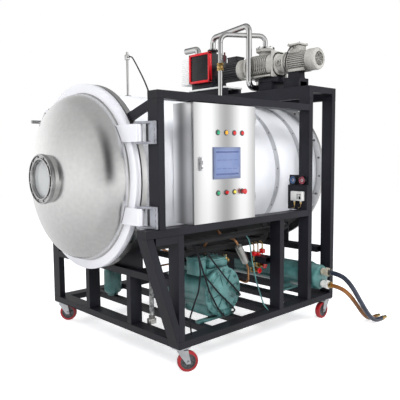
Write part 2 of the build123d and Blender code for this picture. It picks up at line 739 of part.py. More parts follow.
ice_start = shelf_start + SHELF_LENGTH + SHELF_SET_BACK
with BuildPart() as ice_plates:
    for step in range(ICE_PLATES):
        place = CHAMBER_Y + (step - (ICE_PLATES - 1) / 2) * ICE_PITCH
        with Locations((ice_start, place, CHAMBER_Z)):
            Box(ICE_LENGTH, ICE_THICK, ICE_TALL, align=(Align.MIN, Align.CENTER, Align.CENTER))
    for side in (0, ICE_LENGTH - ICE_HEADER):
        with Locations((ice_start + side, CHAMBER_Y, CHAMBER_Z + ICE_TALL / 2)):
            Box(ICE_HEADER, ICE_PITCH * (ICE_PLATES - 1) + ICE_HEADER, ICE_HEADER, align=LOW_CORNER)
    for way in (-1, 1):
        with Locations((ice_start + ICE_LENGTH / 2, CHAMBER_Y + way * ICE_PITCH * 3, CHAMBER_Z - SHELL_RADIUS)):
            Box(ICE_LENGTH * 0.6, 20, SHELL_RADIUS - ICE_TALL / 2 + 10, align=LOW)
    ring(ice_start, ICE_LENGTH, SHELL_BORE, 0, Mode.INTERSECT)
save("ice_plates", ice_plates.part)

# ================================================================ door
door_depth = dish_depth(DISH_RADIUS, DISH_CROWN, DISH_KNUCKLE)
neck_x = DOOR_FRONT_X - door_depth - SIGHT_NECK_OUT
glass_seat = GLASS_RADIUS + SEAL_CLEARANCE
clamp_plane = Plane(
    origin=(DOOR_FRONT_X, CHAMBER_Y, CHAMBER_Z),
    x_dir=(0, cos(radians(CLAMP_ANGLE)), sin(radians(CLAMP_ANGLE))),
    z_dir=(1, 0, 0),
)
with BuildPart() as door_head:
    with BuildSketch(CHAMBER_PLANE):
        with BuildLine():
            Polyline(
                (DOOR_BACK_X, DOOR_BORE),
                (DOOR_BACK_X, RING_RADIUS),
                (DOOR_FRONT_X, RING_RADIUS),
                (DOOR_FRONT_X, DISH_RADIUS),
            )
            outer = dish_lines(DOOR_FRONT_X, -1, DISH_RADIUS, DISH_CROWN, DISH_KNUCKLE, SIGHT_NECK_RADIUS)
            inner_radius = DISH_RADIUS - DISH_WALL
            turn_x, turn_radius = dish_turn(DISH_RADIUS, DISH_CROWN, DISH_KNUCKLE)
            Polyline(
                outer,
                (neck_x, SIGHT_NECK_RADIUS),
                (neck_x, glass_seat),
                (neck_x + GLASS_THICK, glass_seat),
                (neck_x + GLASS_THICK, SIGHT_BORE),
                (DOOR_FRONT_X - door_depth + 2 * DISH_WALL, SIGHT_BORE),
                (DOOR_FRONT_X - turn_x + DISH_WALL, turn_radius - DISH_WALL),
                (DOOR_FRONT_X - turn_x / 2, inner_radius - DISH_WALL),
                (DOOR_FRONT_X, inner_radius),
                (DOOR_FRONT_X, DOOR_BORE),
                (DOOR_BACK_X, DOOR_BORE),
            )
        make_face()
    revolve(axis=CHAMBER_AXIS)
    # The lug on the rim that the clamp's spindle turns in.
    lug_reach = CLAMP_OUT + CLAMP_LUG / 2 - RING_RADIUS + DOOR_RING_THICK / 2
    with BuildSketch(clamp_plane):
        with Locations((RING_RADIUS - DOOR_RING_THICK / 2 + lug_reach / 2, 0)):
            Rectangle(lug_reach, CLAMP_LUG)
        with Locations((CLAMP_OUT, 0)):
            Circle(SPINDLE_RADIUS + FIT, mode=Mode.SUBTRACT)
    extrude(amount=DOOR_RING_THICK)
save("door_head", door_head.part)

with BuildPart() as sight_glass:
    ring(neck_x, GLASS_THICK, GLASS_RADIUS)
save("sight_glass", sight_glass.part)

with BuildPart() as sight_ring:
    ring(neck_x - SIGHT_RING_THICK, SIGHT_RING_THICK, SIGHT_RING_RADIUS, SIGHT_OPEN)
save("sight_ring", sight_ring.part)

# Hinges: an arm across the ring's face at each, with its knuckle between two ears on the hinge post.
with BuildPart() as door_hinge_arms:
    for height in HINGE_HEIGHTS:
        low = BASE_Z + height - HINGE_LENGTH / 2
        with BuildSketch(Plane.XY.offset(low)):
            with Locations((HINGE_X, HINGE_Y)):
                Circle(KNUCKLE_RADIUS)
            with Locations((DOOR_FRONT_X - ARM_THICK, HINGE_Y)):
                Rectangle(ARM_THICK, ARM_REACH, align=(Align.MIN, Align.MIN))
            with Locations((HINGE_X, HINGE_Y)):
                Circle(PIN_RADIUS + FIT, mode=Mode.SUBTRACT)
        extrude(amount=HINGE_LENGTH)
    ring(DOOR_FRONT_X - 2 * ARM_THICK, 2 * ARM_THICK, DISH_RADIUS + SEAL_GAP, 0, Mode.SUBTRACT)
save("door_hinge_arms", *door_hinge_arms.part.solids())

with BuildPart() as hinge_brackets:
    for height in HINGE_HEIGHTS:
        reach = HINGE_LENGTH / 2 + EAR_GAP + EAR_THICK
        block(
            (FACE_X - HINGE_PLATE, BASE_Y + 10, BASE_Z + height - reach),
            (HINGE_PLATE, TUBE_WIDE - 10, 2 * reach),
        )
        for low in (BASE_Z + height - reach, BASE_Z + height + reach - EAR_THICK):
            with BuildSketch(Plane.XY.offset(low)):
                with Locations((HINGE_X, HINGE_Y)):
                    Circle(KNUCKLE_RADIUS)
                with Locations((FACE_X - HINGE_PLATE, BASE_Y + TUBE_WIDE)):
                    Rectangle(HINGE_PLATE, TUBE_NARROW, align=(Align.MIN, Align.MAX))
                make_hull()
            extrude(amount=EAR_THICK)
        disc((HINGE_X, HINGE_Y, BASE_Z + height - reach), "Z", PIN_RADIUS, 2 * reach)
save("hinge_brackets", *hinge_brackets.part.solids())

# Clamp: a lever in front of the lug turns a pawl behind the chamber's ring. It is shown released.
pawl_x = FACE_X + RING_THICK + EAR_GAP
with BuildPart() as door_clamp:
    lever_plane = clamp_plane.offset(-EAR_GAP)
    with BuildSketch(lever_plane):
        with Locations((CLAMP_OUT, 0)):
            Circle(SPINDLE_RADIUS)
    extrude(amount=pawl_x - DOOR_FRONT_X + 12)
    with BuildSketch(lever_plane):
        with Locations((CLAMP_OUT, 0)):
            Rectangle(2 * SPINDLE_RADIUS, 2 * SPINDLE_RADIUS + 4)
        with Locations((CLAMP_OUT, -LEVER_LENGTH / 2)):
            Rectangle(16, LEVER_LENGTH)
    extrude(amount=-12)
    with BuildSketch(lever_plane.offset(-12)):
        with Locations((CLAMP_OUT, -LEVER_LENGTH + 14)):
            Circle(13)
    extrude(amount=-80)
    with BuildSketch(clamp_plane.offset(pawl_x - DOOR_FRONT_X)):
        with Locations((CLAMP_OUT, (PAWL_LENGTH - 24) / 2)):
            Rectangle(24, PAWL_LENGTH)
    extrude(amount=12)
save("door_clamp", door_clamp.part)

# ================================================================ cabinet
cabinet = at(CABINET_X, 0, MID_TOP)
cabinet_back = BASE_Y + CABINET_DEPTH
door_low = cabinet[2] + CABINET_GAP
door_tall = CABINET_TALL - 2 * CABINET_GAP
door_right = cabinet[0] + CABINET_WIDTH
barrel_x = door_right + BARREL_OUT
barrel_y = BASE_Y + CABINET_DOOR / 2
body_y = BASE_Y + CABINET_DOOR + CABINET_GAP
deep = cabinet_back - body_y
inner_wide = CABINET_WIDTH - 2 * SHEET
inner_tall = CABINET_TALL - 2 * SHEET
lip_tall = CABINET_TALL - 2 * CABINET_LIP
panels = [
    ((0, deep - SHEET, 0), (CABINET_WIDTH, SHEET, CABINET_TALL)),
    ((0, 0, 0), (SHEET, deep - SHEET, CABINET_TALL)),
    ((CABINET_WIDTH - SHEET, 0, 0), (SHEET, deep - SHEET, CABINET_TALL)),
    ((SHEET, 0, 0), (inner_wide, deep - SHEET, SHEET)),
    ((SHEET, 0, CABINET_TALL - SHEET), (inner_wide, deep - SHEET, SHEET)),
    ((SHEET, 0, SHEET), (inner_wide, SHEET, CABINET_LIP - SHEET)),
    ((SHEET, 0, CABINET_TALL - CABINET_LIP), (inner_wide, SHEET, CABINET_LIP - SHEET)),
    ((SHEET, 0, CABINET_LIP), (CABINET_LIP - SHEET, SHEET, lip_tall)),
    ((CABINET_WIDTH - CABINET_LIP, 0, CABINET_LIP), (CABINET_LIP - SHEET, SHEET, lip_tall)),
]
body_solids = []
for offset, size in panels:
    with BuildPart() as panel:
        block((cabinet[0] + offset[0], body_y + offset[1], cabinet[2] + offset[2]), size)
    body_solids.append(panel.part)
for height in BARREL_HEIGHTS:
    with BuildPart() as barrel_leaf:
        for low in (height, height + 2 * BARREL_LENGTH / 3):
            foot = cabinet[2] + low
            disc((barrel_x, barrel_y, foot), "Z", BARREL_RADIUS, BARREL_LENGTH / 3)
            leaf_low = (barrel_x - BARREL_RADIUS - 1, barrel_y, foot)
            block(leaf_low, (SHEET + 2, body_y + 30 - leaf_low[1], BARREL_LENGTH / 3))
        disc((barrel_x, barrel_y, cabinet[2] + height), "Z", BARREL_PIN, BARREL_LENGTH)
    body_solids.append(barrel_leaf.part)
save("cabinet_body", *body_solids)

lamp_places = [(BASE_X + PANEL_LEFT + PANEL_PITCH * step, BASE_Z + LAMP_HEIGHT) for step in range(4)]
button_places = [(BASE_X + PANEL_LEFT + PANEL_PITCH * step, BASE_Z + BUTTON_HEIGHT) for step in range(4)]
lock_place = (BASE_X + LOCK_X, BASE_Z + LOCK_HEIGHT)
screen_low = (BASE_X + SCREEN_X - SCREEN_WIDTH / 2, BASE_Y - SCREEN_OUT, BASE_Z + SCREEN_HEIGHT - SCREEN_TALL / 2)
with BuildPart() as cabinet_door:
    block((cabinet[0], BASE_Y, door_low), (CABINET_WIDTH, CABINET_DOOR, door_tall))
    block(
        (cabinet[0] + SHEET, BASE_Y + SHEET, door_low + SHEET),
        (CABINET_WIDTH - 2 * SHEET, CABINET_DOOR - SHEET, door_tall - 2 * SHEET),
        Mode.SUBTRACT,
    )
    for x, z in button_places:
        disc((x, BASE_Y, z), "Y", BUTTON_RADIUS + SEAL_CLEARANCE, SHEET, mode=Mode.SUBTRACT)
    disc((lock_place[0], BASE_Y, lock_place[1]), "Y", LOCK_SPINDLE + FIT, SHEET, mode=Mode.SUBTRACT)
    block(
        (screen_low[0] + SCREEN_RIM - 0.5, BASE_Y, screen_low[2] + SCREEN_RIM - 0.5),
        (SCREEN_WIDTH - 2 * SCREEN_RIM + 1, SHEET, SCREEN_TALL - 2 * SCREEN_RIM + 1),
        Mode.SUBTRACT,
    )
    for height in BARREL_HEIGHTS:
        foot = cabinet[2] + height + BARREL_LENGTH / 3 + EAR_GAP / 2
        tall = BARREL_LENGTH / 3 - EAR_GAP
        disc((barrel_x, barrel_y, foot), "Z", BARREL_RADIUS, tall)
        block((door_right, barrel_y - 4, foot), (BARREL_OUT, 8, tall))
        disc((barrel_x, barrel_y, foot), "Z", BARREL_PIN + FIT, tall, mode=Mode.SUBTRACT)
save("cabinet_door", cabinet_door.part)

with BuildPart() as cabinet_handle:
    disc((lock_place[0], BASE_Y - 8, lock_place[1]), "Y", LOCK_SPINDLE, 8 + CABINET_DOOR + 14)
    block(
        (lock_place[0] - 11, BASE_Y - 26, lock_place[1] - LOCK_LENGTH / 2),
        (22, 18, LOCK_LENGTH),
    )
    block(
        (lock_place[0] - LATCH_REACH, BASE_Y + CABINET_DOOR + CABINET_GAP + SHEET + 2, lock_place[1] - 9),
        (LATCH_REACH + 8, 3, 18),
    )
save("cabinet_handle", cabinet_handle.part)

with BuildPart() as touch_screen:
    block(screen_low, (SCREEN_WIDTH, SCREEN_OUT, SCREEN_TALL))
    block(
        (screen_low[0] + SCREEN_RIM, BASE_Y, screen_low[2] + SCREEN_RIM),
        (SCREEN_WIDTH - 2 * SCREEN_RIM, SCREEN_BACK, SCREEN_TALL - 2 * SCREEN_RIM),
    )
save("touch_screen", touch_screen.part)

with BuildPart() as indicator_lamps:
    for x, z in lamp_places:
        disc((x, BASE_Y - BUTTON_OUT, z), "Y", LAMP_RADIUS, BUTTON_OUT)
save("indicator_lamps", *indicator_lamps.part.solids())

for name, (x, z) in (("start_button", button_places[0]), ("reset_button", button_places[2])):
    with BuildPart() as button:
        disc((x, BASE_Y - BUTTON_OUT, z), "Y", BUTTON_RADIUS, BUTTON_OUT + BUTTON_BACK)
    save(name, button.part)

with BuildPart() as selector_switch:
    x, z = button_places[1]
    disc((x, BASE_Y - BUTTON_OUT, z), "Y", BUTTON_RADIUS, BUTTON_OUT + BUTTON_BACK)
    with Locations((x, BASE_Y - BUTTON_OUT, z)):
        Box(8, 10, 2 * BUTTON_RADIUS, align=(Align.CENTER, Align.MAX, Align.CENTER), rotation=(0, 35, 0))
save("selector_switch", selector_switch.part)

with BuildPart() as emergency_stop:
    x, z = button_places[3]
    disc((x, BASE_Y - STOP_OUT + 12, z), "Y", BUTTON_RADIUS, STOP_OUT - 12 + BUTTON_BACK)
    disc((x, BASE_Y - STOP_OUT, z), "Y", STOP_RADIUS, 12)
save("emergency_stop", emergency_stop.part)

with BuildPart() as control_plate:
    plate_y = cabinet_back - SHEET - GEAR_PLATE
    block((cabinet[0] + 30, plate_y, cabinet[2] + 30), (CABINET_WIDTH - 60, GEAR_PLATE, CABINET_TALL - 60))
    for low, tall, deep in ((60, 60, 70), (220, 110, 95), (430, 70, 60), (600, 100, 110)):
        block((cabinet[0] + 60, plate_y - deep, cabinet[2] + low), (CABINET_WIDTH - 120, deep, tall))
save("control_plate", control_plate.part)

# ================================================================ refrigeration
deck = BASE_Z + TUBE_NARROW
comp = at(COMPRESSOR_X, COMPRESSOR_FRONT, COMPRESSOR_HEIGHT)
comp_end = comp[1] + COMPRESSOR_LENGTH
head_z = comp[2] + COMPRESSOR_RADIUS
with BuildPart() as compressor_body:
    disc(comp, "Y", COVER_RADIUS, COVER_THICK)
    disc((comp[0], comp[1] + COVER_THICK, comp[2]), "Y", COMPRESSOR_RADIUS, COMPRESSOR_LENGTH - 2 * COVER_THICK)
    disc((comp[0], comp_end - COVER_THICK, comp[2]), "Y", COMPRESSOR_RADIUS * 0.8, COVER_THICK)
    # Crankcase sump, the flange that the heads bolt to, and two feet across the skid beams.
    block((comp[0] - 125, comp[1] + 40, comp[2] - 175), (250, 260, 175))
    block((comp[0] - 115, comp[1] + 60, head_z - 30), (230, 260, 38))
    foot_wide = SKID_PLACES[1] - SKID_PLACES[0] + SKID_SIDE
    for place in (50, COMPRESSOR_LENGTH - 90):
        block((BASE_X + SKID_PLACES[0], comp[1] + place, deck), (foot_wide, 44, 22))
        block((comp[0] - 90, comp[1] + place + 12, deck + 22), (180, 20, comp[2] - deck - 100))
save("compressor_body", compressor_body.part)

flange_z = head_z + 8
with BuildPart() as compressor_heads:
    for place in (66, 196):
        block((comp[0] - 80, comp[1] + place, flange_z), (190, 116, 64))
    block((comp[0] - 80, comp[1] + 182, flange_z), (190, 14, 30))
with BuildPart() as terminal_box:
    block((comp[0] - 190, comp[1] + 66, head_z - 30), (75, 130, 132))
save("compressor_heads", compressor_heads.part, terminal_box.part)

condenser_axis = at(CONDENSER_X, CONDENSER_FRONT, CONDENSER_HEIGHT)
cap_y = condenser_axis[1] - CAP_PLATE
with BuildPart() as condenser:
    disc((condenser_axis[0], cap_y - CAP_LENGTH, condenser_axis[2]), "Y", CAP_BODY, CAP_LENGTH)
    chamfer(condenser.edges().group_by(Axis.Y)[0], CAP_CORNER)
    disc((condenser_axis[0], cap_y, condenser_axis[2]), "Y", CAP_RADIUS, CAP_PLATE)
    disc(condenser_axis, "Y", CONDENSER_RADIUS, CONDENSER_LENGTH)
    rear_cap = condenser_axis[1] + CONDENSER_LENGTH
    disc((condenser_axis[0], rear_cap, condenser_axis[2]), "Y", CAP_RADIUS, CAP_PLATE)
    # Two saddles on plates that bridge the rear cross-members.
    bridge = REAR_X - TUBE_NARROW - BASE_X - THIRD_POST
    for place in (180, CONDENSER_LENGTH - 220):
        block((BASE_X + THIRD_POST, condenser_axis[1] + place, deck), (bridge, 60, 12))
        block((condenser_axis[0] - 80, condenser_axis[1] + place + 24, deck + 12), (160, 12, 110))
save("condenser", condenser.part)

# Water fittings on the cap: a nipple with a hexagon nut at each port.
port_y = cap_y - CAP_LENGTH
port_heights = (condenser_axis[2] + WATER_PITCH / 2, condenser_axis[2] - WATER_PITCH / 2)
water_fittings = []
for height in port_heights:
    with BuildPart() as fitting:
        disc((condenser_axis[0], port_y - WATER_REACH, height), "Y", WATER_RADIUS, WATER_REACH)
        nut = Plane(origin=(condenser_axis[0], port_y - WATER_REACH, height), z_dir=(0, 1, 0))
        with BuildSketch(nut):
            RegularPolygon(WATER_NUT, 6)
        extrude(amount=26)
    water_fittings.append(fitting.part)
save("water_fittings", *water_fittings)

with BuildPart() as receiver:
    foot = at(RECEIVER_X, RECEIVER_Y, TUBE_NARROW)
    disc((foot[0], foot[1], foot[2] + 15), "Z", RECEIVER_RADIUS, RECEIVER_TALL)
    chamfer(receiver.edges().filter_by(GeomType.CIRCLE), 20, 34)
    disc(foot, "Z", RECEIVER_RADIUS * 0.6, 16)
    disc((foot[0], foot[1], foot[2] + 14 + RECEIVER_TALL), "Z", LINE_RADIUS + 5, 26)
save("receiver", receiver.part)

# Filter drier: a slanted canister with tapered ends, in the liquid line.
drier_low = Vector(*at(870, 200, 411))
drier_high = Vector(*at(771, 200, 569))
drier_way = (drier_high - drier_low).normalized()
with BuildPart() as filter_drier:
    rod(drier_low, drier_high, DRIER_RADIUS)
    chamfer(filter_drier.edges().filter_by(GeomType.CIRCLE), 12)
save("filter_drier", filter_drier.part)

# Lines: liquid from the condenser to the receiver and on through the drier, hot gas from the heads to the condenser,
# suction from the chamber, the valves' manifold, and the braided drain hose at the door end.
line_z = BASE_Z + LIQUID_HEIGHT
drier_foot = drier_low - drier_way * DRIER_TAIL
drier_head = drier_high + drier_way * DRIER_TAIL
receiver_top = (foot[0], foot[1], foot[2] + 40 + RECEIVER_TALL)
liquid = pipe(
    [
        receiver_top,
        (receiver_top[0], receiver_top[1], line_z + 90),
        (drier_foot.X, receiver_top[1], line_z + 90),
        (drier_foot.X, drier_foot.Y, line_z - 50),
        drier_foot,
        drier_low,
    ],
    None,
    LINE_RADIUS,
)
with BuildPart() as liquid_rise:
    add(pipe([drier_high, drier_head, at(720, 330, 640), at(720, 400, 760)], None, LINE_RADIUS))
    ring(BASE_X, FRAME_LENGTH, JACKET_RADIUS, 0, Mode.SUBTRACT)
with BuildPart() as liquid_return:
    height = condenser_axis[2]
    disc((foot[0], foot[1], height), "X", LINE_RADIUS, condenser_axis[0] - foot[0])
    disc((foot[0], foot[1], deck), "Z", RECEIVER_RADIUS, MID_TOP, mode=Mode.SUBTRACT)
    disc(condenser_axis, "Y", CONDENSER_RADIUS, CONDENSER_LENGTH, mode=Mode.SUBTRACT)
gas_y = comp[1] + 262
gas_z = BASE_Z + GAS_HEIGHT
with BuildPart() as hot_gas:
    gas_route = [
        (comp[0] + 60, gas_y, flange_z + 64),
        (comp[0] + 60, gas_y, gas_z),
        (condenser_axis[0], gas_y, gas_z),
        (condenser_axis[0], gas_y, condenser_axis[2]),
    ]
    add(pipe(gas_route, None, LINE_RADIUS + 2))
    disc(condenser_axis, "Y", CONDENSER_RADIUS, CONDENSER_LENGTH, mode=Mode.SUBTRACT)
with BuildPart() as suction:
    suction_y = comp[1] + 430
    disc((comp[0], suction_y, comp[2]), "Z", SUCTION_RADIUS, MID_TOP)
    disc(comp, "Y", COMPRESSOR_RADIUS, COMPRESSOR_LENGTH, mode=Mode.SUBTRACT)
    ring(BASE_X, FRAME_LENGTH, JACKET_RADIUS, 0, Mode.SUBTRACT)
with BuildPart() as drain_hose:
    drain = at(*DRAIN_SPOT, TUBE_NARROW)
    block((drain[0] - 30, drain[1] - 22, drain[2]), (56, 44, 40))
    disc((drain[0], drain[1], drain[2] + 40), "Z", DRAIN_RADIUS, MID_TOP)
    ring(FACE_X, FRAME_LENGTH, JACKET_RADIUS, 0, Mode.SUBTRACT)
with BuildPart() as valve_manifold:
    for spot in KNOB_SPOTS:
        x, y, z = at(*spot)
        block((x - 20, y, z - 22), (40, 44, 44))
        disc((x, y - 22, z), "Y", STEM_RADIUS + 8, 22)
        disc((x, y - 22, z), "Y", STEM_RADIUS + FIT, 44, mode=Mode.SUBTRACT)
        block((x - 6, y + 30, z + 22), (12, 8, saddle_z - TUBE_NARROW - z - 22))
    first, second = [at(*spot) for spot in KNOB_SPOTS]
    disc((second[0], first[1] + 34, second[2]), "X", LINE_RADIUS, first[0] - second[0])
save(
    "refrigerant_pipes",
    liquid,
    liquid_rise.part,
    liquid_return.part,
    hot_gas.part,
    suction.part,
    drain_hose.part,
    valve_manifold.part,
)

for number, spot in enumerate(KNOB_SPOTS, start=1):
    x, y, z = at(*spot)
    with BuildPart() as valve_knob:
        disc((x, y - 30 - KNOB_THICK, z), "Y", STEM_RADIUS, 30 + KNOB_THICK + 16)
        with BuildSketch(Plane(origin=(x, y - 30, z), z_dir=(0, -1, 0))):
            RegularPolygon(KNOB_RADIUS, 10)
        extrude(amount=KNOB_THICK)
    save(f"valve_knob_{number}", valve_knob.part)

# ================================================================ gauges
panel_x = BASE_X + THIRD_POST
panel_z = BASE_Z + MID_TOP
with BuildPart() as gauge_panel:
    block((panel_x - GAUGE_PLATE, BASE_Y, panel_z), (GAUGE_PLATE, GAUGE_WIDE, GAUGE_TALL + 2 * GAUGE_RADIUS + 10))
    block((panel_x - 25, BASE_Y, panel_z), (25 - GAUGE_PLATE, GAUGE_WIDE, GAUGE_TALL))
save("gauge_panel", gauge_panel.part)
with BuildPart() as gauges:
    for place in (50, 140):
        centre = (panel_x - GAUGE_PLATE, BASE_Y + place, panel_z + GAUGE_TALL + GAUGE_RADIUS + 4)
        disc(centre, "X", GAUGE_RADIUS, -GAUGE_DEPTH)
with BuildPart() as controller:
    block((panel_x - 55, BASE_Y + 22, panel_z + 73), (30, 120, 77))
save("gauges", *gauges.part.solids(), controller.part)

# ================================================================ vacuum set
axis_z = BASE_Z + PUMP_AXIS
line_x = BASE_X + PUMP_LINE_X
deck_z = platform_z
roots_y = BASE_Y + ROOTS_FRONT
roots_end = roots_y + ROOTS_LENGTH
port_y = BASE_Y + ROOTS_PORT_Y
out_y = BASE_Y + ROOTS_OUT_Y
roots_low = axis_z - ROOTS_RADIUS
roots_high = axis_z + ROOTS_RADIUS
collar_y = roots_y + LANTERN_LENGTH


def case_slice(start, length, inset):
    """A length of the Roots pump's round-cornered case, drawn in from its full size on every side."""
    with BuildSketch(Plane(origin=(line_x, start, axis_z), z_dir=(0, 1, 0))) as outline:
        RectangleRounded(ROOTS_CASE - 2 * inset, 2 * (ROOTS_RADIUS - inset), ROOTS_CORNER - inset)
    extrude(outline.sketch, amount=length)


def fins(start, length, radius):
    """Axial cooling fins round a motor's frame on the pumps' axis."""
    with BuildSketch(Plane(origin=(line_x, start, axis_z), z_dir=(0, 1, 0))) as outline:
        with PolarLocations(radius - FIN_TALL - FIN_SHORT, FIN_COUNT):
            Rectangle(2 * FIN_TALL, FIN_THICK)
    extrude(outline.sketch, amount=length)


# The lantern between motor and pump is open at both sides, where the coupling shows.
with BuildPart() as roots_pump:
    disc((line_x, roots_y, axis_z), "Y", LANTERN_RADIUS, LANTERN_LENGTH, LANTERN_RADIUS - LANTERN_WALL)
    disc((line_x, roots_y, axis_z), "Y", MOTOR_RADIUS, LANTERN_FLANGE, LANTERN_RADIUS - LANTERN_WALL)
    disc((line_x - LANTERN_RADIUS, roots_y + LANTERN_LENGTH / 2, axis_z), "X", LANTERN_WINDOW,
         2 * LANTERN_RADIUS, mode=Mode.SUBTRACT)
    disc((line_x, roots_y + 5, axis_z), "Y", COUPLING_RADIUS, LANTERN_LENGTH)
    with BuildSketch(Plane(origin=(line_x, collar_y, axis_z), z_dir=(0, 1, 0))):
        Rectangle(ROOTS_CASE - 4, 2 * ROOTS_RADIUS + 16)
    extrude(amount=COLLAR_THICK)
    case_slice(collar_y, GEAR_CASE_END - LANTERN_LENGTH, 4)
    case_slice(roots_y + GEAR_CASE_END, ROOTS_LENGTH - GEAR_CASE_END, RIB_DEEP)
    for step in range(RIB_COUNT):
        case_slice(roots_y + GEAR_CASE_END + RIB_PITCH * step, RIB_THICK, 0)
    case_slice(roots_end - END_COVER, END_COVER, 0)
    disc((line_x, port_y, roots_high - 10), "Z", 62, INLET_TOP - PUMP_AXIS - ROOTS_RADIUS + 10 - 22)
    disc((line_x, port_y, BASE_Z + INLET_TOP - 22), "Z", 82, 22)
    disc((line_x, port_y, axis_z + 40), "Z", PIPE_RADIUS - PIPE_WALL, 140, mode=Mode.SUBTRACT)
    disc((line_x, out_y, roots_low + 10), "Z", BIG_PIPE_RADIUS + 14, -30)
save("roots_pump", roots_pump.part)

motor_y = BASE_Y + MOTOR_FRONT
with BuildPart() as roots_motor:
    body_start = motor_y + COWL_LENGTH
    disc((line_x, body_start, axis_z), "Y", MOTOR_RADIUS - FIN_TALL, roots_y - body_start)
    disc((line_x, roots_y - MOTOR_BELL, axis_z), "Y", MOTOR_RADIUS, MOTOR_BELL)
    disc((line_x, body_start, axis_z), "Y", MOTOR_RADIUS, MOTOR_BELL)
    fins(body_start, roots_y - body_start, MOTOR_RADIUS)
    disc((line_x, motor_y, axis_z), "Y", COWL_RADIUS, COWL_LENGTH + 20, COWL_RADIUS - SHEET)
    disc((line_x, motor_y, axis_z), "Y", COWL_RADIUS, SHEET, 58)
    disc((line_x, body_start, axis_z), "Y", COWL_RADIUS, 20, MOTOR_RADIUS - 5)
    for turn in (0, 90):
        with Locations(Location((line_x, motor_y, axis_z), (0, turn, 0))):
            Box(2 * COWL_RADIUS - 10, SHEET, 8, align=(Align.CENTER, Align.MIN, Align.CENTER))
    block((line_x - 60, BASE_Y + 191, axis_z + MOTOR_RADIUS - 14), (120, 130, 78))
    disc((line_x, body_start, axis_z), "Y", STEM_RADIUS + 3 + FIT, 24, mode=Mode.SUBTRACT)
save("roots_motor", roots_motor.part)

with BuildPart() as motor_fan:
    disc((line_x, body_start - 48, axis_z), "Y", STEM_RADIUS + 3, 48 + 22)
    disc((line_x, body_start - 44, axis_z), "Y", 22, 34)
    with BuildSketch(Plane(origin=(line_x, body_start - 42, axis_z), z_dir=(0, 1, 0))):
        with PolarLocations(0, 7):
            with Locations((48, 0)):
                Rectangle(64, 3)
    extrude(amount=30)
save("motor_fan", motor_fan.part)

pump_y = BASE_Y + PUMP_FRONT
box_low = BASE_Z + COVER_BOX_LOW
pump_x = line_x - 90
with BuildPart() as vacuum_pump:
    motor_start = BASE_Y + BACKING_FRONT
    disc((line_x, motor_start, axis_z), "Y", BACKING_RADIUS - FIN_TALL, 275)
    disc((line_x, motor_start, axis_z), "Y", BACKING_RADIUS, BACKING_BELL)
    disc((line_x, motor_start + 275 - MOTOR_BELL, axis_z), "Y", BACKING_RADIUS, MOTOR_BELL)
    fins(motor_start, 275, BACKING_RADIUS)
    disc((line_x, motor_start + 275, axis_z), "Y", BACKING_RADIUS - 16, pump_y - motor_start - 275)
    block((line_x - 55, motor_start + 60, axis_z + BACKING_RADIUS - 14), (110, 120, 50))
    block((pump_x, pump_y, box_low), (PUMP_BLOCK_WIDE, PUMP_BLOCK_LENGTH, PUMP_BLOCK_TALL))
    disc((line_x, BASE_Y + PUMP_INLET_Y, box_low + PUMP_BLOCK_TALL), "Z", 36, 30)
    disc((line_x, BASE_Y + PUMP_INLET_Y, box_low + PUMP_BLOCK_TALL + 30), "Z", 54, 16)
with BuildPart() as filter_box:
    block((pump_x, pump_y + PUMP_BLOCK_LENGTH, box_low), (PUMP_BLOCK_WIDE, FILTER_BOX_LENGTH, FILTER_BOX_TALL))
    for step in range(LOUVRES):
        slot_low = (pump_x, pump_y + PUMP_BLOCK_LENGTH + 10, box_low + 14 + LOUVRE_PITCH * step)
        block(slot_low, (LOUVRE_DEEP, FILTER_BOX_LENGTH - 20, LOUVRE_PITCH / 2), Mode.SUBTRACT)
save("vacuum_pump", vacuum_pump.part, filter_box.part)

with BuildPart() as pump_cover:
    block((pump_x - 38, pump_y, box_low), (38, COVER_BOX_WIDE, COVER_BOX_TALL))
    block((pump_x - 38, pump_y + 22, box_low + 22), (10, COVER_BOX_WIDE - 44, COVER_BOX_TALL - 44), Mode.SUBTRACT)
save("pump_cover", pump_cover.part)

# Supports: blocks under the Roots pump and its motor, and a plate on two channels under the backing pump.
with BuildPart() as pump_supports:
    block((line_x - 95, BASE_Y + 459, deck_z), (190, 150, 80))
    block((line_x - 80, BASE_Y + 400, deck_z + 80), (160, 220, 40))
    block((line_x - 50, BASE_Y + 440, deck_z + 120), (100, 150, 60))
    block((line_x - 70, BASE_Y + 190, deck_z), (140, 160, 90))
    block((line_x - 45, BASE_Y + 210, deck_z + 90), (90, 110, 90))
    disc((line_x, BASE_Y, axis_z), "Y", MOTOR_RADIUS, FRAME_WIDTH, mode=Mode.SUBTRACT)
with BuildPart() as support_cut:
    add(pump_supports.part)
    add(roots_pump.part, mode=Mode.SUBTRACT)
with BuildPart() as pump_bed:
    bed_y = BASE_Y + 1000
    for x in (line_x - 110, line_x + 70):
        block((x, bed_y, deck_z), (40, 500, 80))
    block((line_x - 125, bed_y, deck_z + 80), (250, 500, 15))
    block((pump_x + 10, pump_y, deck_z + 95), (190, 300, box_low - deck_z - 95))
save("pump_supports", *support_cut.part.solids(), pump_bed.part)

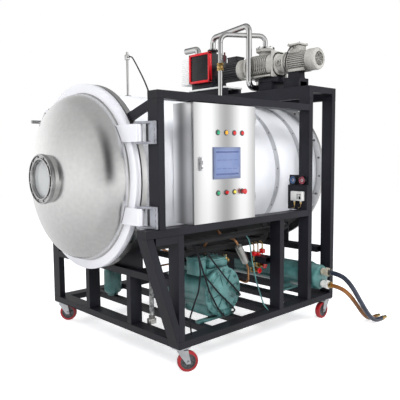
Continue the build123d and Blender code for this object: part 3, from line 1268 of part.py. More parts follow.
# Pipes: from the chamber's nozzle through the ball valve to the Roots inlet, from the Roots outlet to the backing
# pump, the exhaust, and the probe's mast.
riser = (RISER_SPOT[0], RISER_SPOT[1])
shell_top = CHAMBER_Z + SHELL_RADIUS - 5
valve_z = BASE_Z + VALVE_LOW
with BuildPart() as riser_low:
    disc((*riser, shell_top), "Z", PIPE_RADIUS, valve_z - shell_top, PIPE_RADIUS - PIPE_WALL)
    disc((*riser, CHAMBER_Z + JACKET_RADIUS + 2), "Z", PIPE_RADIUS + 22, 14, PIPE_RADIUS - PIPE_WALL)
    ring(FACE_X, FRAME_LENGTH, SHELL_RADIUS, 0, Mode.SUBTRACT)
with BuildPart() as valve_body:
    block((riser[0] - 32, riser[1] - 30, valve_z), (64, 60, VALVE_TALL))
    disc((riser[0], riser[1] - 44, valve_z + VALVE_TALL / 2), "Y", 14, 14)
    disc((*riser, valve_z), "Z", PIPE_RADIUS - PIPE_WALL, VALVE_TALL, mode=Mode.SUBTRACT)
    disc((riser[0], riser[1] - 44, valve_z + VALVE_TALL / 2), "Y", STEM_RADIUS + FIT, 20, mode=Mode.SUBTRACT)
run_z = BASE_Z + CROSS_HEIGHT
inlet_route = [
    (*riser, valve_z + VALVE_TALL),
    (*riser, run_z),
    (line_x, port_y, run_z),
    (line_x, port_y, BASE_Z + INLET_TOP + 16),
]
riser_high = pipe(inlet_route, [70, 70], PIPE_RADIUS)
with BuildPart() as inlet_flange:
    disc((line_x, port_y, BASE_Z + INLET_TOP), "Z", 82, 16, PIPE_RADIUS - PIPE_WALL)
big_x = BASE_X + BIG_RISER_X
big_z = BASE_Z + BIG_HEIGHT
outlet_route = [
    (line_x, out_y, roots_low - 20),
    (line_x, out_y, roots_low - 82),
    (big_x, out_y, roots_low - 82),
    (big_x, out_y, big_z),
    (line_x, BASE_Y + PUMP_INLET_Y, big_z),
    (line_x, BASE_Y + PUMP_INLET_Y, box_low + PUMP_BLOCK_TALL + 46),
]
big_pipe = pipe(outlet_route, [52, 52, 90, 72], BIG_PIPE_RADIUS)
exhaust_x = pump_x + 45
exhaust_start = (exhaust_x, pump_y + EXHAUST_BACK, box_low + PUMP_BLOCK_TALL)
exhaust_turn = (exhaust_x, exhaust_start[1], exhaust_start[2] + EXHAUST_RISE)
exhaust_route = [exhaust_start, exhaust_turn, (exhaust_x, exhaust_turn[1] + EXHAUST_RUN, exhaust_turn[2])]
exhaust = pipe(exhaust_route, [55], EXHAUST_RADIUS, PIPE_WALL)
with BuildPart() as mast:
    disc((*MAST_SPOT, shell_top), "Z", MAST_RADIUS, BASE_Z + MAST_TOP - shell_top)
    gland = (MAST_SPOT[0] - MAST_RADIUS - 6, MAST_SPOT[1] - MAST_RADIUS - 6, BASE_Z + MAST_TOP - 60)
    block(gland, (2 * MAST_RADIUS + 12, 2 * MAST_RADIUS + 12, 40))
    ring(FACE_X, FRAME_LENGTH, SHELL_RADIUS, 0, Mode.SUBTRACT)
save(
    "vacuum_pipes",
    riser_low.part,
    valve_body.part,
    riser_high,
    inlet_flange.part,
    big_pipe,
    exhaust,
    mast.part,
)

with BuildPart() as valve_lever:
    lever_y = riser[1] - 44
    lever_z = valve_z + VALVE_TALL / 2
    disc((riser[0], lever_y - 10, lever_z), "Y", STEM_RADIUS, 28)
    block((riser[0] - 12, lever_y - 10, lever_z - 12), (24, 9, 24))
    block((riser[0] - 8, lever_y - 10, lever_z), (16, 5, 120))
save("valve_lever", valve_lever.part)

# ================================================================ hoses and leads
hose_ends = []
for name, points, radius in (
    ("upper_water_hose", UPPER_HOSE, UPPER_HOSE_RADIUS),
    ("lower_water_hose", LOWER_HOSE, LOWER_HOSE_RADIUS),
):
    save(name, cord(name, [at(*point) for point in points], radius))
    end = at(*points[-1])
    with BuildPart() as coupling:
        disc(end, "X", radius, 46)
        disc((end[0] + 46, end[1], end[2]), "X", radius * 0.7, 30)
    hose_ends.append(coupling.part)
save("hose_couplings", *hose_ends)

save("mast_lead", cord("mast_lead", [at(*point) for point in MAST_LEAD], LEAD_RADIUS))
save("motor_lead", cord("motor_lead", [at(*point) for point in MOTOR_LEAD], LEAD_RADIUS))
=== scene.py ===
import json
from math import cos, pi, radians, sin, sqrt

import bmesh
import bpy
import numpy as np
from mathutils import Matrix, Vector


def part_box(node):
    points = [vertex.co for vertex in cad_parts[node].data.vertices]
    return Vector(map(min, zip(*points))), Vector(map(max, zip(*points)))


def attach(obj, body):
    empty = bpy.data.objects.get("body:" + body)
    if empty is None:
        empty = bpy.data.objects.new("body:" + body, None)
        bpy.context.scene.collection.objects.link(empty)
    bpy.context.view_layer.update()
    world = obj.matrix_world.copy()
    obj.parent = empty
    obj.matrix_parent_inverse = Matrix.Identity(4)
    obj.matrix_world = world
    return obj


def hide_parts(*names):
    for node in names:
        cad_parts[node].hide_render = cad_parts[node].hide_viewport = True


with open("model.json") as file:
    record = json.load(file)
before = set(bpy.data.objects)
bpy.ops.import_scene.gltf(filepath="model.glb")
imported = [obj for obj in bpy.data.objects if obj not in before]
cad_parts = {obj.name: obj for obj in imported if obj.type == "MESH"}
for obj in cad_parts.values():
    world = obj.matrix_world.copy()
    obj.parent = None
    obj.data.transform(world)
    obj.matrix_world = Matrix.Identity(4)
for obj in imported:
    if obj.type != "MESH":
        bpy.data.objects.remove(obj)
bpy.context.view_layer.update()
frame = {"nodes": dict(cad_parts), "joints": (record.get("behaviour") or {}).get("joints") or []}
nodes = frame["nodes"]
corner = np.array(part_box("base_beams")[0])
UP, DOWN, IN, OUT, REAR, FORE = (0, 0, 1), (0, 0, -1), (0, 1, 0), (0, -1, 0), (1, 0, 0), (-1, 0, 0)


def at(x, y, z):
    """A point in metres from millimetres along, into and up from the base's near lower corner."""
    return corner + np.array([x, y, z], float) / 1000


# ==================== Studio ====================
# A pale seamless floor, a white surround, three large soft lamps and the camera, which stands in front of the door's
# hinge side at chest height.
def link(obj):
    bpy.context.scene.collection.objects.link(obj)
    return obj


def feed(node, inputs):
    """Give a shader node's inputs their values, or link them to the sockets that drive them."""
    for name, value in inputs.items():
        if isinstance(value, bpy.types.NodeSocket):
            node.id_data.links.new(value, node.inputs[name])
        else:
            node.inputs[name].default_value = value


def assign(target, **settings):
    """Set several attributes of one thing."""
    for name, value in settings.items():
        setattr(target, name, value)
    return target


def add(tree, kind, inputs=None, out=0, **settings):
    """A new shader node with its settings and its inputs, given as the output socket that is used."""
    made = assign(tree.nodes.new("ShaderNode" + kind), **settings)
    feed(made, inputs or {})
    return made.outputs[out]


def maths(tree, kind, *values, **settings):
    """Arithmetic on numbers and sockets."""
    return add(tree, "Math", dict(enumerate(values)), operation=kind, **settings)


def mapped(tree, value, span=(0, 1), onto=(0, 1), **settings):
    """A value whose span is mapped onto another."""
    ends = dict(zip(("From Min", "From Max", "To Min", "To Max"), (*span, *onto)))
    return add(tree, "MapRange", {"Value": value, **ends}, **settings)


def blank_material(name):
    """A node material, with its tree and its shader."""
    made = bpy.data.materials.new(name)
    made.use_nodes = True
    return made, made.node_tree, made.node_tree.nodes["Principled BSDF"]


FLOOR_HALF = 14.0
floor_corners = [(x * FLOOR_HALF, y * FLOOR_HALF, 0) for x, y in ((-1, -1), (1, -1), (1, 1), (-1, 1))]
floor_mesh = bpy.data.meshes.new("studio_floor")
floor_mesh.from_pydata(floor_corners, [], [(0, 1, 2, 3)])
studio_floor = link(bpy.data.objects.new("studio_floor", floor_mesh))
floor_paint, tree, shader = blank_material("floor_paint")
rays = add(tree, "LightPath").node.outputs
# Straight on the floor glows white; it lights the machine's underside less, and polished steel sees it as grey.
gleam = mapped(tree, rays["Is Camera Ray"], onto=(0.2, 0.6))
feed(shader, {"Base Color": (0.86, 0.86, 0.87, 1), "Roughness": 0.7, "Specular IOR Level": 0.2,
              "Emission Color": (1, 1, 1, 1), "Emission Strength": gleam})
slope = add(tree, "SeparateXYZ", {0: add(tree, "NewGeometry", out="Incoming")}, "Z")
grey = add(tree, "Emission", {"Strength": mapped(tree, slope, (0.12, 0.65), (1.0, 0.58))})
surface = add(tree, "MixShader", {0: rays["Is Glossy Ray"], 1: shader.outputs[0], 2: grey})
feed(tree.nodes["Material Output"], {"Surface": surface})
floor_mesh.materials.append(floor_paint)

world = bpy.data.worlds.new("surround")
bpy.context.scene.world = world
world.use_nodes = True
tree = world.node_tree
rays = add(tree, "LightPath").node.outputs
direction = add(tree, "TexCoord", out="Generated")
squeezed = add(tree, "VectorMath", {0: direction, 1: (1, 1, 0.2)}, operation="MULTIPLY")


def reflected(kind, way, span, onto, source=direction):
    """A tone for glossy rays: a vector operation on the ray's direction, its span mapped onto two levels."""
    spot = add(tree, "VectorMath", {0: source, 1: way}, "Value", operation=kind)
    return mapped(tree, spot, span, onto, interpolation_type="SMOOTHSTEP")


# Polished steel sees a dark surround behind the machine, a paler one overhead and a narrow dark card by the door.
rear = reflected("DOT_PRODUCT", (0.966, 0.259, 0.0), (0.55, 0.85), (1.0, 0.05))
above = reflected("DOT_PRODUCT", UP, (-0.1, 0.8), (1.0, 0.46))
card = reflected("DISTANCE", (-0.86, -0.51, 0.0), (0.05, 0.74), (0.05, 1.0), squeezed)
left_glow = reflected("DOT_PRODUCT", IN, (0.74, 1.0), (1.0, 1.35))
front_glow = reflected("DOT_PRODUCT", (0.684, -0.724, 0.0), (0.75, 0.97), (1.0, 1.45))
shade = maths(tree, "MULTIPLY", maths(tree, "MULTIPLY", rear, above), card)
glow = maths(tree, "MULTIPLY", left_glow, front_glow)
tone = maths(tree, "MULTIPLY", shade, glow)
level = add(tree, "Mix", {0: rays["Is Glossy Ray"], 2: 1.0, 3: tone}, data_type="FLOAT")
direct = add(tree, "Background", {"Color": (1, 1, 1, 1), "Strength": level})
ambient = add(tree, "Background", {"Color": (0.93, 0.95, 1.0, 1), "Strength": 0.5})
seen = maths(tree, "ADD", rays["Is Camera Ray"], rays["Is Glossy Ray"])
shown = maths(tree, "ADD", seen, rays["Is Transmission Ray"], use_clamp=True)
feed(tree.nodes["World Output"], {"Surface": add(tree, "MixShader", {0: shown, 1: ambient, 2: direct})})

middle = Vector((0, 0, 1.2))
for name, place, size, power in (
    ("key_lamp", (-3.6, -4.6, 4.6), 3.2, 330.0),
    ("side_lamp", (4.8, -3.8, 3.4), 3.0, 170.0),
    ("back_lamp", (-1.5, 4.8, 4.6), 3.4, 150.0),
):
    lamp = assign(bpy.data.lights.new(name, "AREA"), shape="DISK", size=size, energy=power)
    aim = (middle - Vector(place)).to_track_quat("-Z", "Y").to_euler()
    holder = link(bpy.data.objects.new(name, lamp))
    assign(holder, location=place, rotation_euler=aim, visible_glossy=False)

look = Vector((0.684134, 0.723884, -0.089178))
right = Vector((0.726238, -0.687392, -0.008389))
camera_data = assign(bpy.data.cameras.new("camera"), sensor_width=36.0, lens=47.406)
camera = link(bpy.data.objects.new("camera", camera_data))
turned_to = Matrix((right, right.cross(look), -look)).transposed()
camera.matrix_world = Matrix.Translation(at(-2160.989, -2489.311, 1269.478)) @ turned_to.to_4x4()
bpy.context.scene.camera = camera
bpy.context.scene.view_settings.view_transform = "Standard"


# ==================== Hoses and leads ====================
# Two smooth rubber water hoses curve from the condenser's cap down to the floor, and two black leads hang between
# the pump platform, the mast and the frame. Each is one flexible length with a fitting or a gland at its end.
def node_group(name, inputs, outputs=("Tone",)):
    """An empty shader group: a socket is a vector where its value is one, and a number elsewhere."""
    group = bpy.data.node_groups.new(name, "ShaderNodeTree")
    for label, value in inputs.items():
        kind = "NodeSocketVector" if np.ndim(value) else "NodeSocketFloat"
        group.interface.new_socket(label, in_out="INPUT", socket_type=kind).default_value = value
    for label in outputs:
        group.interface.new_socket(label, in_out="OUTPUT", socket_type="NodeSocketFloat")
    return group, group.nodes.new("NodeGroupInput").outputs, group.nodes.new("NodeGroupOutput")


def grain_group():
    """Coarse cloudy tone plus a fine grain: Tone varies the colour, Height feeds a bump and Rough the gloss."""
    inputs = {"Vector": (0, 0, 0), "Cloud Scale": 6.0, "Grain Scale": 300.0}
    group, source, sink = node_group("surface_grain", inputs, ("Tone", "Height", "Rough"))
    cloud, fine = (
        add(group, "TexNoise", {"Vector": source["Vector"], "Scale": source[scale], "Detail": detail})
        for scale, detail in (("Cloud Scale", 4.0), ("Grain Scale", 3.0))
    )
    feed(sink, {"Tone": maths(group, "MULTIPLY_ADD", fine, 0.35, cloud), "Height": fine, "Rough": cloud})
    return group


def dust_group():
    """Dust lies where a face looks up: the normal's rise, sharpened and broken up by noise, times Amount."""
    group, source, sink = node_group("settled_dust", {"Vector": (0, 0, 0), "Amount": 0.3}, ("Mask",))
    lift = add(group, "SeparateXYZ", {0: add(group, "NewGeometry", out="Normal")}, "Z")
    patch = add(group, "TexNoise", {"Vector": source["Vector"], "Scale": 9.0, "Detail": 5.0})
    broken = maths(group, "MULTIPLY", mapped(group, lift, (0.55, 1)), patch)
    feed(sink, {"Mask": maths(group, "MULTIPLY", broken, source["Amount"])})
    return group


def reflection_band_group():
    """Painted reflections: broad soft light and dark bands across a polished sheet, half a cosine of the distance
    along Way, from Low to 1.
    """
    inputs = {"Vector": (0, 0, 0), "Way": REAR, "Crest": 0.0, "Turns": 3.0, "Low": 0.5}
    group, source, sink = node_group("painted_reflection_bands", inputs)
    across = add(group, "VectorMath", {0: source["Vector"], 1: source["Way"]}, "Value", operation="DOT_PRODUCT")
    turns = maths(group, "MULTIPLY", maths(group, "SUBTRACT", across, source["Crest"]), source["Turns"])
    feed(sink, {"Tone": mapped(group, maths(group, "COSINE", turns), (-1, 1), (source["Low"], 1))})
    return group


def corner_shade_group():
    """Painted shade in corners and gaps: ambient occlusion darkens the colour from 1 in the open down to Low where
    near faces close round a point.
    """
    group, source, sink = node_group("painted_corner_shade", {"Reach": 0.03, "Low": 0.3})
    near = add(group, "AmbientOcclusion", {"Distance": source["Reach"]}, "AO", samples=6)
    feed(sink, {"Tone": mapped(group, near, (0.35, 0.9), (source["Low"], 1))})
    return group


def edge_shade_group():
    """A polished round piece is painted darker where it turns away from the eye: painted shade, 1 face on, down to Low
    at its edges.
    """
    group, source, sink = node_group("painted_edge_shade", {"Low": 0.2})
    facing = add(group, "LayerWeight", out="Facing")
    feed(sink, {"Tone": mapped(group, facing, (0.3, 0.72), (1, source["Low"]), interpolation_type="SMOOTHSTEP")})
    return group


GRAIN, DUST, PAINTED_REFLECTION, SHADE_IN_CORNERS, EDGE_SHADE = grain_group(), dust_group(), reflection_band_group(), corner_shade_group(), edge_shade_group()


def finish(name, dark, light, metal=0.0, rough=(0.35, 0.5), cloud=6.0, grain=300.0, relief=0.05, dust=0.0,
           stretch=(1, 1, 1), coat=0.0, lit=0.0, shine=0.5, bands=None, corner_shade=None, rim=None):
    """A finish between two tones: grain drives colour, gloss and relief, and dust pales the faces that look up.

    A tone is a colour or one grey level. stretch squeezes the pattern along each axis, which turns grain into brushed
    lines. The last three arguments paint light and shade into the colour: bands is (way, crest, turns to the metre in
    radians, lowest tone) of painted reflections; the next is the tone of painted shade in the closest corners, and rim
    that of painted shade at the edges seen at a slant."""
    made, tree, shader = blank_material(name)
    place = add(tree, "TexCoord", out="Object")
    scaled = add(tree, "Mapping", {"Vector": place, "Scale": stretch})
    inputs = {"Vector": scaled, "Cloud Scale": cloud, "Grain Scale": grain}
    pattern = add(tree, "Group", inputs, node_tree=GRAIN).node.outputs
    colour = add(tree, "ValToRGB", {"Fac": pattern["Tone"]})
    for stop, position, tone in zip(colour.node.color_ramp.elements, (0.45, 0.9), (dark, light)):
        stop.position = position
        stop.color = (*(float(part) for part in np.broadcast_to(tone, 3)), 1)
    # Painted light and shade multiply the colour: reflection bands, shade in corners and shade at slanting edges.
    shades = {PAINTED_REFLECTION: bands and {"Vector": place, **dict(zip(("Way", "Crest", "Turns", "Low"), bands))},
              SHADE_IN_CORNERS: corner_shade and {"Low": corner_shade}, EDGE_SHADE: rim and {"Low": rim}}
    for group, inputs in shades.items():
        if inputs:
            factors = {0: 1.0, 6: colour, 7: add(tree, "Group", inputs, node_tree=group)}
            colour = add(tree, "Mix", factors, 2, data_type="RGBA", blend_type="MULTIPLY")
    fallen = add(tree, "Group", {"Vector": place, "Amount": dust}, node_tree=DUST)
    paled = add(tree, "Mix", {0: fallen, 6: colour, 7: (0.55, 0.54, 0.52, 1)}, 2, data_type="RGBA")
    bump = add(tree, "Bump", {"Strength": relief, "Distance": 0.001, "Height": pattern["Height"]})
    feed(shader, {"Base Color": paled, "Roughness": mapped(tree, pattern["Rough"], (0.3, 0.7), rough), "Normal": bump,
                  "Metallic": metal, "Coat Weight": coat, "Specular IOR Level": shine})
    if lit:
        feed(shader, {"Emission Color": paled, "Emission Strength": lit})
    return made


def grid(points, round_rows=False, round_columns=True):
    """Four-sided faces over a grid of points, closed along its columns, its rows or both."""
    rows, columns = points.shape[:2]
    index = np.arange(rows * columns).reshape(rows, columns)
    if round_rows:
        index = np.vstack([index, index[:1]])
    if round_columns:
        index = np.hstack([index, index[:, :1]])
    faces = np.stack([index[:-1, :-1], index[:-1, 1:], index[1:, 1:], index[1:, :-1]], -1)
    return points.reshape(-1, 3), faces.reshape(-1, 4)


def join(*shapes):
    """Several shapes as one."""
    starts = np.cumsum([0] + [len(points) for points, _ in shapes[:-1]])
    return (
        np.vstack([points for points, _ in shapes]),
        np.vstack([faces + start for (_, faces), start in zip(shapes, starts)]),
    )


def unit(ways):
    """One direction or several, each made 1 long."""
    ways = np.array(ways, float)
    return ways / np.linalg.norm(ways, axis=-1, keepdims=True)


def square_to(way):
    """Unit vectors square to each direction and to each other: the two sides of a turn about it."""
    side = unit(np.cross(way, (0.36, 0.61, 0.71)))
    return side, np.cross(way, side)


def rim_of(way, count, turn=0.0):
    """Evenly spaced directions round an axis, from a turn in radians."""
    side, up = square_to(unit(way))
    angle = turn + np.arange(count) * 2 * pi / count
    return np.outer(np.cos(angle), side) + np.outer(np.sin(angle), up)


def turned(start, way, profile, count=96):
    """Surface of revolution: each (distance along, radius) of the profile, in mm, goes round a circle."""
    along, radius = np.array(profile, float).T / 1000
    return grid(np.array(start) + along[:, None, None] * unit(way) + radius[:, None, None] * rim_of(way, count))


def settle(obj, body, instead):
    """Put an object on its body. It stands for a CAD node where one is named."""
    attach(obj, body)
    if instead:
        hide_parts(instead)
    return obj


def dress(mesh, work, material, body, instead, edge, sharp=35.0):
    """An object from an edited mesh: smooth between its sharp edges, which a bevel of this width in mm rounds off."""
    work.to_mesh(mesh)
    work.free()
    mesh.materials.append(material)
    mesh.polygons.foreach_set("use_smooth", [True] * len(mesh.polygons))
    mesh.set_sharp_from_angle(angle=radians(sharp))
    obj = link(bpy.data.objects.new(mesh.name, mesh))
    if edge:
        bevel = obj.modifiers.new("eased", "BEVEL")
        assign(bevel, width=edge / 1000, segments=2, limit_method="ANGLE", angle_limit=radians(40))
        obj.modifiers.new("flat", "WEIGHTED_NORMAL").keep_sharp = True
    return settle(obj, body, instead)


def piece(name, shapes, material, body="machine", instead=None, edge=0.0, sharp=35.0):
    """One mesh object from a shape or a list of them. Doubles are merged, so its seams and poles are closed."""
    points, faces = join(*shapes) if isinstance(shapes, list) else shapes
    mesh = bpy.data.meshes.new(name)
    mesh.from_pydata(points.tolist(), [], faces.tolist())
    work = bmesh.new()
    work.from_mesh(mesh)
    bmesh.ops.remove_doubles(work, verts=work.verts, dist=1e-6)
    bmesh.ops.recalc_face_normals(work, faces=work.faces)
    return dress(mesh, work, material, body, instead, edge, sharp)


def line_of(name, route, radius, material, node):
    """A cord's centreline: one NURBS spline of order three through the route's control points."""
    curve = bpy.data.curves.new(name, "CURVE")
    assign(curve, dimensions="3D", bevel_depth=radius / 1000, bevel_resolution=8, use_fill_caps=True)
    spline = curve.splines.new("NURBS")
    spline.points.add(len(route) - 1)
    for point, spot in zip(spline.points, route):
        point.co = (*at(*spot), 1)
    assign(spline, order_u=3, use_endpoint_u=True, resolution_u=12)
    curve.materials.append(material)
    return settle(link(bpy.data.objects.new(name, curve)), "machine", node)


black_hose = finish("black_hose", (0.012, 0.016, 0.03), (0.035, 0.045, 0.075), rough=(0.16, 0.3), relief=0.1,
                    dust=0.05, cloud=9, coat=0.3)
amber_hose = finish("amber_hose", (0.1, 0.035, 0.008), (0.42, 0.16, 0.03), rough=(0.18, 0.3), relief=0.1, cloud=5,
                    coat=0.3)
brass = finish("brass", (0.52, 0.34, 0.12), (0.75, 0.53, 0.22), 1.0, (0.2, 0.38), relief=0.08)
sheath = finish("sheath", (0.005, 0.005, 0.007), (0.014, 0.014, 0.018), rough=(0.4, 0.55), relief=0.1, shine=0.25)

UPPER_ROUTE = (
    (1567, -96, 273), (1567, -205, 273), (1594, -285, 198), (1665, -328, 60), (1765, -350, -78), (1875, -356, -151),
    (1975, -356, -151),
)
LOWER_ROUTE = (
    (1567, -96, 167), (1567, -190, 167), (1602, -260, 118), (1690, -284, 15), (1790, -292, -92), (1895, -292, -153),
    (1985, -292, -153),
)
MAST_ROUTE = (
    (228, 810, 1992), (228, 770, 1992), (190, 690, 1950), (90, 500, 1850), (-60, 230, 1715), (-120, 120, 1640),
)
MOTOR_ROUTE = ((1530, 250, 2150), (1478, 250, 2150), (1434, 262, 2060), (1430, 268, 1940), (1430, 268, 1800))
for label, route, radius, hose_finish, slot, length in (
    ("upper", UPPER_ROUTE, 19.0, black_hose, "hose_black", 0.77),
    ("lower", LOWER_ROUTE, 17.0, amber_hose, "hose_brown", 0.67),
):
    hose = line_of(f"{label}_hose", route, radius, hose_finish, f"{label}_water_hose")
    tail = radius * 0.7
    tail_line = [(0, radius - 4), (0, radius), (4, radius), (6, radius - 2), (10, radius - 2), (12, radius),
                 (30, radius), (33, radius - 3), (46, radius - 4), (46, tail - 1), (47, tail), (74, tail),
                 (76, tail - 2), (76, tail - 5), (0, tail - 5), (0, 0)]
    coupling = piece(f"{label}_hose_tail", turned(at(*route[-1]), REAR, tail_line, 48), brass,
                     instead="hose_couplings")
for label, route, length in (("mast", MAST_ROUTE, 0.855), ("motor", MOTOR_ROUTE, 0.4)):
    lead = line_of(f"{label}_cable", route, 5.0, sheath, f"{label}_lead")


# ==================== Frame ====================
# Welded 100 x 50 mm steel tube: a base with posts, a mid rail that overhangs to carry the door, short posts with
# cradles under the chamber and a taller rear end for the pumps. It is sprayed satin dark grey after welding.
def eased(node, edge, material, body="machine"):
    """A CAD node's own faces, merged and cleared of flat seams, with its edges eased. It stands for the node."""
    work = bmesh.new()
    work.from_mesh(nodes[node].data)
    bmesh.ops.remove_doubles(work, verts=work.verts, dist=2e-6)
    bmesh.ops.dissolve_limit(work, angle_limit=radians(0.4), verts=work.verts, edges=work.edges)
    return dress(bpy.data.meshes.new(node + "_eased"), work, material, body, node, edge)


frame_paint = finish("frame_paint", (0.005, 0.005, 0.008), (0.015, 0.015, 0.022), rough=(0.4, 0.55), grain=520,
                     relief=0.12, cloud=2.4, dust=0.03, shine=0.3)
for node, edge in (("base_beams", 3), ("frame_posts", 3), ("mid_beams", 3), ("door_strut", 3), ("top_beams", 0)):
    eased(node, edge, frame_paint)


BEAD_RADIUS, RIPPLE = 3.0, 6.6


def bead(start, end):
    """A weld bead: a thin rod along the joint whose radius swells and shrinks with the sine of each ripple."""
    start, end = at(*start), at(*end)
    length = np.linalg.norm(end - start) * 1000
    along = np.linspace(0, length, max(8, int(3 * length / RIPPLE)))
    swell = BEAD_RADIUS * (0.82 + 0.18 * np.abs(np.sin(along * pi / RIPPLE)))
    swell[[0, -1]] = 0.0
    return turned(start, end - start, np.stack([along, swell], 1), 8)


NARROW, WIDE = 50, 100
BASE_TOP, RAIL_LOW, RAIL_TOP, DECK_LOW = 50, 750, 800, 1700
SHORT_POSTS, TALL_POSTS = (0, 1035), (1405, 1730)
weld_lines = []
for y in (0, 1550):
    for x in SHORT_POSTS + TALL_POSTS:
        foot = [(x + dx, y + dy, BASE_TOP) for dx, dy in ((0, 0), (NARROW, 0), (NARROW, 97), (0, 97))]
        weld_lines += [bead(*pair) for pair in zip(foot, foot[1:] + foot[:1])]
    for x in SHORT_POSTS:
        weld_lines += [bead((side, y, RAIL_LOW), (side, y + WIDE, RAIL_LOW)) for side in (x, x + NARROW)]
for x in TALL_POSTS:
    head = [(x, 0, DECK_LOW), (x + NARROW, 0, DECK_LOW), (x + NARROW, WIDE, DECK_LOW)]
    weld_lines += [bead(*pair) for pair in zip(head, head[1:])]
weld_lines.append(bead((-100, 0, RAIL_TOP), (-100, WIDE, RAIL_TOP)))
weld_lines += [bead((x, WIDE, RAIL_LOW), (x, WIDE, RAIL_TOP)) for x in (1406, 1454)]
piece("weld_beads", weld_lines, frame_paint, sharp=180)


# ==================== Castors ====================
# Four swivel castors: a pressed zinc plate bolted under the base, a raked fork, and a cast grey hub with a bonded
# red polyurethane tread that turns on a bolt.
def hoop(start, way, profile, count=96):
    """A turned ring: its profile is closed on itself."""
    return turned(start, way, [*profile, profile[0]], count)


def many(shape, places, ways=UP):
    """Copies of one small shape, made about the origin with its axis up Z, at each place, turned to each way."""
    points, faces = shape
    places = np.atleast_2d(places)
    ways = unit(np.broadcast_to(ways, places.shape))
    side, up = square_to(ways)
    copies = np.einsum("pi,cij->cpj", points, np.stack([side, up, ways], 1)) + places[:, None]
    starts = np.arange(len(places)) * len(points)
    return copies.reshape(-1, 3), (faces[None] + starts[:, None, None]).reshape(-1, 4)


def bolts(radius, height, places, ways=UP):
    """Hexagon heads with their washer faces, chamfered at the top."""
    wide, washer_height = radius * 1.12, 1.5
    washer = turned((0, 0, 0), UP, [(0, 0), (0, wide), (washer_height, wide), (washer_height, 0)], 12)
    head_line = [(0, radius), (height * 0.8, radius), (height, radius * 0.8), (height, 0)]
    head = turned((0, 0, washer_height / 1000), UP, head_line, 6)
    return many(join(washer, head), places, ways)


zinc = finish("zinc", (0.42, 0.43, 0.45), (0.68, 0.69, 0.72), 1.0, (0.28, 0.45), cloud=14, relief=0.1, dust=0.12)
tread_red = finish("tread_red", (0.22, 0.006, 0.01), (0.4, 0.012, 0.018), relief=0.12, dust=0.1)
hub_grey = finish("hub_grey", (0.05, 0.05, 0.055), (0.22, 0.22, 0.23), 0.7, relief=0.2, dust=0.12)
eased("caster_plates", 1, zinc)
PLATE_LOW, PITCH = -8, 34
plate_bolts = [at(x + dx, y + dy, PLATE_LOW) for x in (50, 1730) for y in (50, 1600)
               for dx in (-PITCH, PITCH) for dy in (-PITCH, PITCH)]
piece("caster_bolts", bolts(8, 6, plate_bolts, DOWN), zinc)
axles = {joint["child"]: joint for joint in frame["joints"]}
tread_line = [(-20, 52), (-20, 65), (-15, 69.3), (-8, 70), (8, 70), (15, 69.3), (20, 65), (20, 52)]
# The hub's web sinks between five spokes: its depth follows the cosine of five times the angle.
web_radius = np.array([7.1, 15, 15, 18, 24, 34, 44, 48, 51.9])
web_depth = np.array([19, 19, 18, 8, 4, 3, 6, 17, 17])
spoke_rise = 9 * np.array([0, 0, 0, 0.5, 1, 1, 0.6, 0, 0])
ROUND, BOLT_HALF = 80, 0.0292
spoke_share = np.clip(np.cos(5 * np.arange(ROUND) * 2 * pi / ROUND), 0, 1)
for number in (1, 2, 3, 4):
    wheel, fork = f"wheel_{number}", f"fork_{number}"
    eased(f"caster_{fork}", 1.2, zinc, fork)
    way, hub = unit(axles[wheel]["axis"]), np.array(axles[wheel]["pos_m"])
    tread = hoop(hub, way, tread_line, ROUND)
    piece(f"caster_tread_{number}", tread, tread_red, wheel, f"caster_{wheel}")
    spread = web_radius[:, None, None] * rim_of(way, ROUND)
    rise = (web_depth[:, None] + spoke_rise[:, None] * spoke_share)[..., None] * way
    webs = [grid(hub + (spread + side * rise) / 1000) for side in (1, -1)]
    bore = turned(hub, way, [(-19, 7.1), (19, 7.1)], 40)
    piece(f"caster_hub_{number}", [*webs, bore], hub_grey, wheel)
    ends = np.array([way, -way])
    piece(f"caster_bolt_{number}", bolts(10, 7, hub + ends * BOLT_HALF, ends), zinc, fork)

# ==================== Chamber ====================
# A stainless cylinder with a thick flange at its mouth, lagged and covered by a white enamelled steel sheet. Two grey
# bands with screws close the sheet's seams, and a plain ribbed plate closes the rear.
def circle(start, way, radius, count, turn=0.0):
    """Evenly spaced places round an axis, radius in mm and turn in degrees."""
    return np.array(start) + radius / 1000 * rim_of(way, count, radians(turn))


CHAMBER_Y, CHAMBER_Z = 825.0, 1102.0
satin_steel = finish("satin_steel", 0.56, (0.7, 0.7, 0.69), 1.0, (0.24, 0.36), cloud=3, grain=24, relief=0.02)
enamel = finish("enamel", (0.82, 0.83, 0.87), (0.93, 0.94, 0.97), cloud=1.2, grain=90, relief=0.0, shine=0.35)
band_grey = finish("band_grey", (0.44, 0.45, 0.48), (0.58, 0.59, 0.62), 0.2, (0.4, 0.55), relief=0.08)
screw_steel = finish("screw_steel", 0.1, 0.3, 1.0, (0.3, 0.4))
silicone = finish("silicone", (0.62, 0.62, 0.6), (0.8, 0.8, 0.78), rough=(0.5, 0.65), dust=0.12)
shelf_aluminium = finish("shelf_aluminium", (0.55, 0.56, 0.57), (0.78, 0.79, 0.8), 1.0, (0.3, 0.42), grain=80,
                         stretch=(12, 1, 1), relief=0.04, dust=0.12)


def centre(x):
    """A point on the chamber's axis."""
    return at(x, CHAMBER_Y, CHAMBER_Z)


